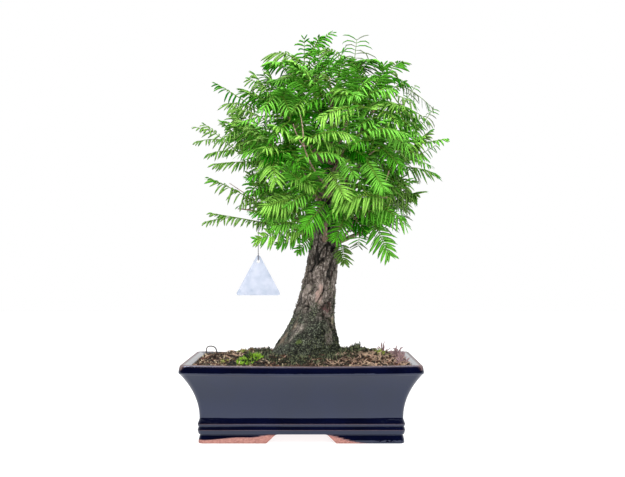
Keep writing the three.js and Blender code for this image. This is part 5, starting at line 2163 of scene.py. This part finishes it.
@dataclass
class Studio:
    """The camera at the photograph's angle, the pale floor and the soft lights."""

    eye: tuple[float, float, float] = (14.2, -1543.0, 232.6)
    focal_pixels: float = 1140.0
    picture_width: float = 625.0
    horizon_below_middle: float = 22.5
    film: float = 36.0
    floor_side: float = 2500.0
    floor_depth: tuple[float, float] = (-640.0, 3600.0)
    glow: float = 0.84
    # what the lamps are aimed at, in metres
    aim: tuple[float, float, float] = (0.0, 0.0, 0.3)
    # name, place and edge in metres, watts, and whether gloss mirrors it
    lamps: tuple[tuple[str, tuple[float, float, float], float, float, bool], ...] = (
        ("key_box", (-0.8, -1.0, 1.6), 0.8, 28, True),
        ("top_box", (0.1, 0.1, 1.9), 1.2, 20, True),
        ("front_box", (0.4, -1.9, 0.9), 1.3, 43, False),
    )

    def camera(self) -> None:
        """A level camera whose frame is shifted up a little."""
        lens = bpy.data.cameras.new("camera")
        lens.sensor_fit = "HORIZONTAL"
        lens.sensor_width = self.film
        lens.lens = self.focal_pixels * self.film / self.picture_width
        lens.shift_y = self.horizon_below_middle / self.picture_width
        eye = bpy.data.objects.new("camera", lens)
        eye.location = (np.array(self.eye) + POT_MIDDLE) * MM
        eye.rotation_euler = (np.pi / 2, 0, 0)
        bpy.context.scene.collection.objects.link(eye)
        bpy.context.scene.camera = eye

    def floor(self) -> None:
        """A white floor, lit from within so that hardly a shadow shows on it. It ends before
        the camera, where the room is dark."""
        side, (near, far) = self.floor_side, self.floor_depth
        corners = np.array([[-side, near, 0], [side, near, 0], [side, far, 0], [-side, far, 0]])
        mesh = bpy.data.meshes.new("floor")
        mesh.from_pydata(((corners + POT_MIDDLE) * MM).tolist(), [], [(0, 1, 2, 3)])
        material = bpy.data.materials.new("white studio floor")
        material.use_nodes = True
        plain = {"Base Color": "#a0a0a0", "Roughness": 0.8, "Emission Color": "#ffffff",
                 "Emission Strength": self.glow}
        feed(material.node_tree.nodes["Principled BSDF"], plain)
        mesh.materials.append(material)
        plane = bpy.data.objects.new("floor", mesh)
        bpy.context.scene.collection.objects.link(plane)

    def lights(self) -> None:
        """Square soft boxes that face the crown. Gloss doesn't mirror the last one, as
        through a polarising filter."""
        for name, place, size, power, mirrored in self.lamps:
            light = bpy.data.lights.new(name, "AREA")
            light.shape = "SQUARE"
            light.size = size
            light.energy = power
            box = bpy.data.objects.new(name, light)
            box.location = place
            aim = np.array(self.aim) - np.array(place)
            tilt = np.arctan2(np.hypot(aim[0], aim[1]), -aim[2])
            box.rotation_euler = (tilt, 0, np.arctan2(aim[1], aim[0]) - np.pi / 2)
            box.visible_glossy = mirrored
            bpy.context.scene.collection.objects.link(box)

    def room(self) -> None:
        """The room's light: white behind the object and overhead, dark on the camera's
        side, with a white background where the camera looks."""
        world = bpy.data.worlds.new("room")
        bpy.context.scene.world = world
        world.use_nodes = True
        tree = world.node_tree
        tree.nodes.clear()
        way = add_node(tree, "ShaderNodeTexCoord").outputs["Generated"]
        parts = add_node(tree, "ShaderNodeSeparateXYZ", {0: way}).outputs
        back, over = (
            add_node(tree, "ShaderNodeMapRange",
                     {"Value": parts[axis], "From Min": a, "From Max": b, "To Min": c, "To Max": d},
                     interpolation_type="SMOOTHSTEP").outputs[0]
            for axis, a, b, c, d in (("Y", -0.5, 0.6, 0.04, 1.0), ("Z", 0.5, 0.85, 0.0, 1.3))
        )
        light = add_node(tree, "ShaderNodeMath", {0: back, 1: over}, operation="MAXIMUM").outputs[0]
        room, seen = (
            add_node(tree, "ShaderNodeBackground", {"Color": "#ffffff", "Strength": strength})
            for strength in (light, 1.0)
        )
        path = add_node(tree, "ShaderNodeLightPath").outputs["Is Camera Ray"]
        both = add_node(tree, "ShaderNodeMixShader", {0: path, 1: room.outputs[0], 2: seen.outputs[0]})
        add_node(tree, "ShaderNodeOutputWorld", {"Surface": both.outputs[0]})

    def build(self) -> None:
        """Sets up camera, floor, lights and the colours' plain rendering."""
        self.camera()
        self.floor()
        self.room()
        self.lights()
        bpy.context.scene.view_settings.view_transform = "Standard"


@dataclass
class Trim:
    """The blank hanging tag, its thread and the anchor wire, whose solids stay."""

    def build(self) -> None:
        """Gives each of these solids its finish: dull brown steel wire that has weathered,
        and smooth dark nylon with a slight sheen."""
        wire = Finish("weathered steel wire", "#342b27", 0.55)
        thread = Finish("dark nylon thread", "#5b5660", 0.5)
        for node, finish in (("tag", TagPlastic()), ("tag_thread", thread), ("anchor_wire", wire)):
            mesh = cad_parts[node].data
            mesh.materials.clear()
            mesh.materials.append(finish.dress())
            log.info("%s: finish %s", node, finish.name)


def main() -> None:
    """Builds the studio, the pot with its soil, the trunk and the crown."""
    logging.basicConfig(level=logging.INFO, format="%(name)s: %(message)s")
    Studio().build()
    plan = CrownPlan()
    plan.grow()
    names = sorted(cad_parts)
    Pot().build()
    Ground(plan).build()
    young = YoungBark().dress()
    Trunk(plan).build([n for n in names if "_bough_" in n], young)
    Foliage(plan).build([n for n in names if "mass" in n], young)
    Trim().build()


if __name__ == "__main__":
    main()
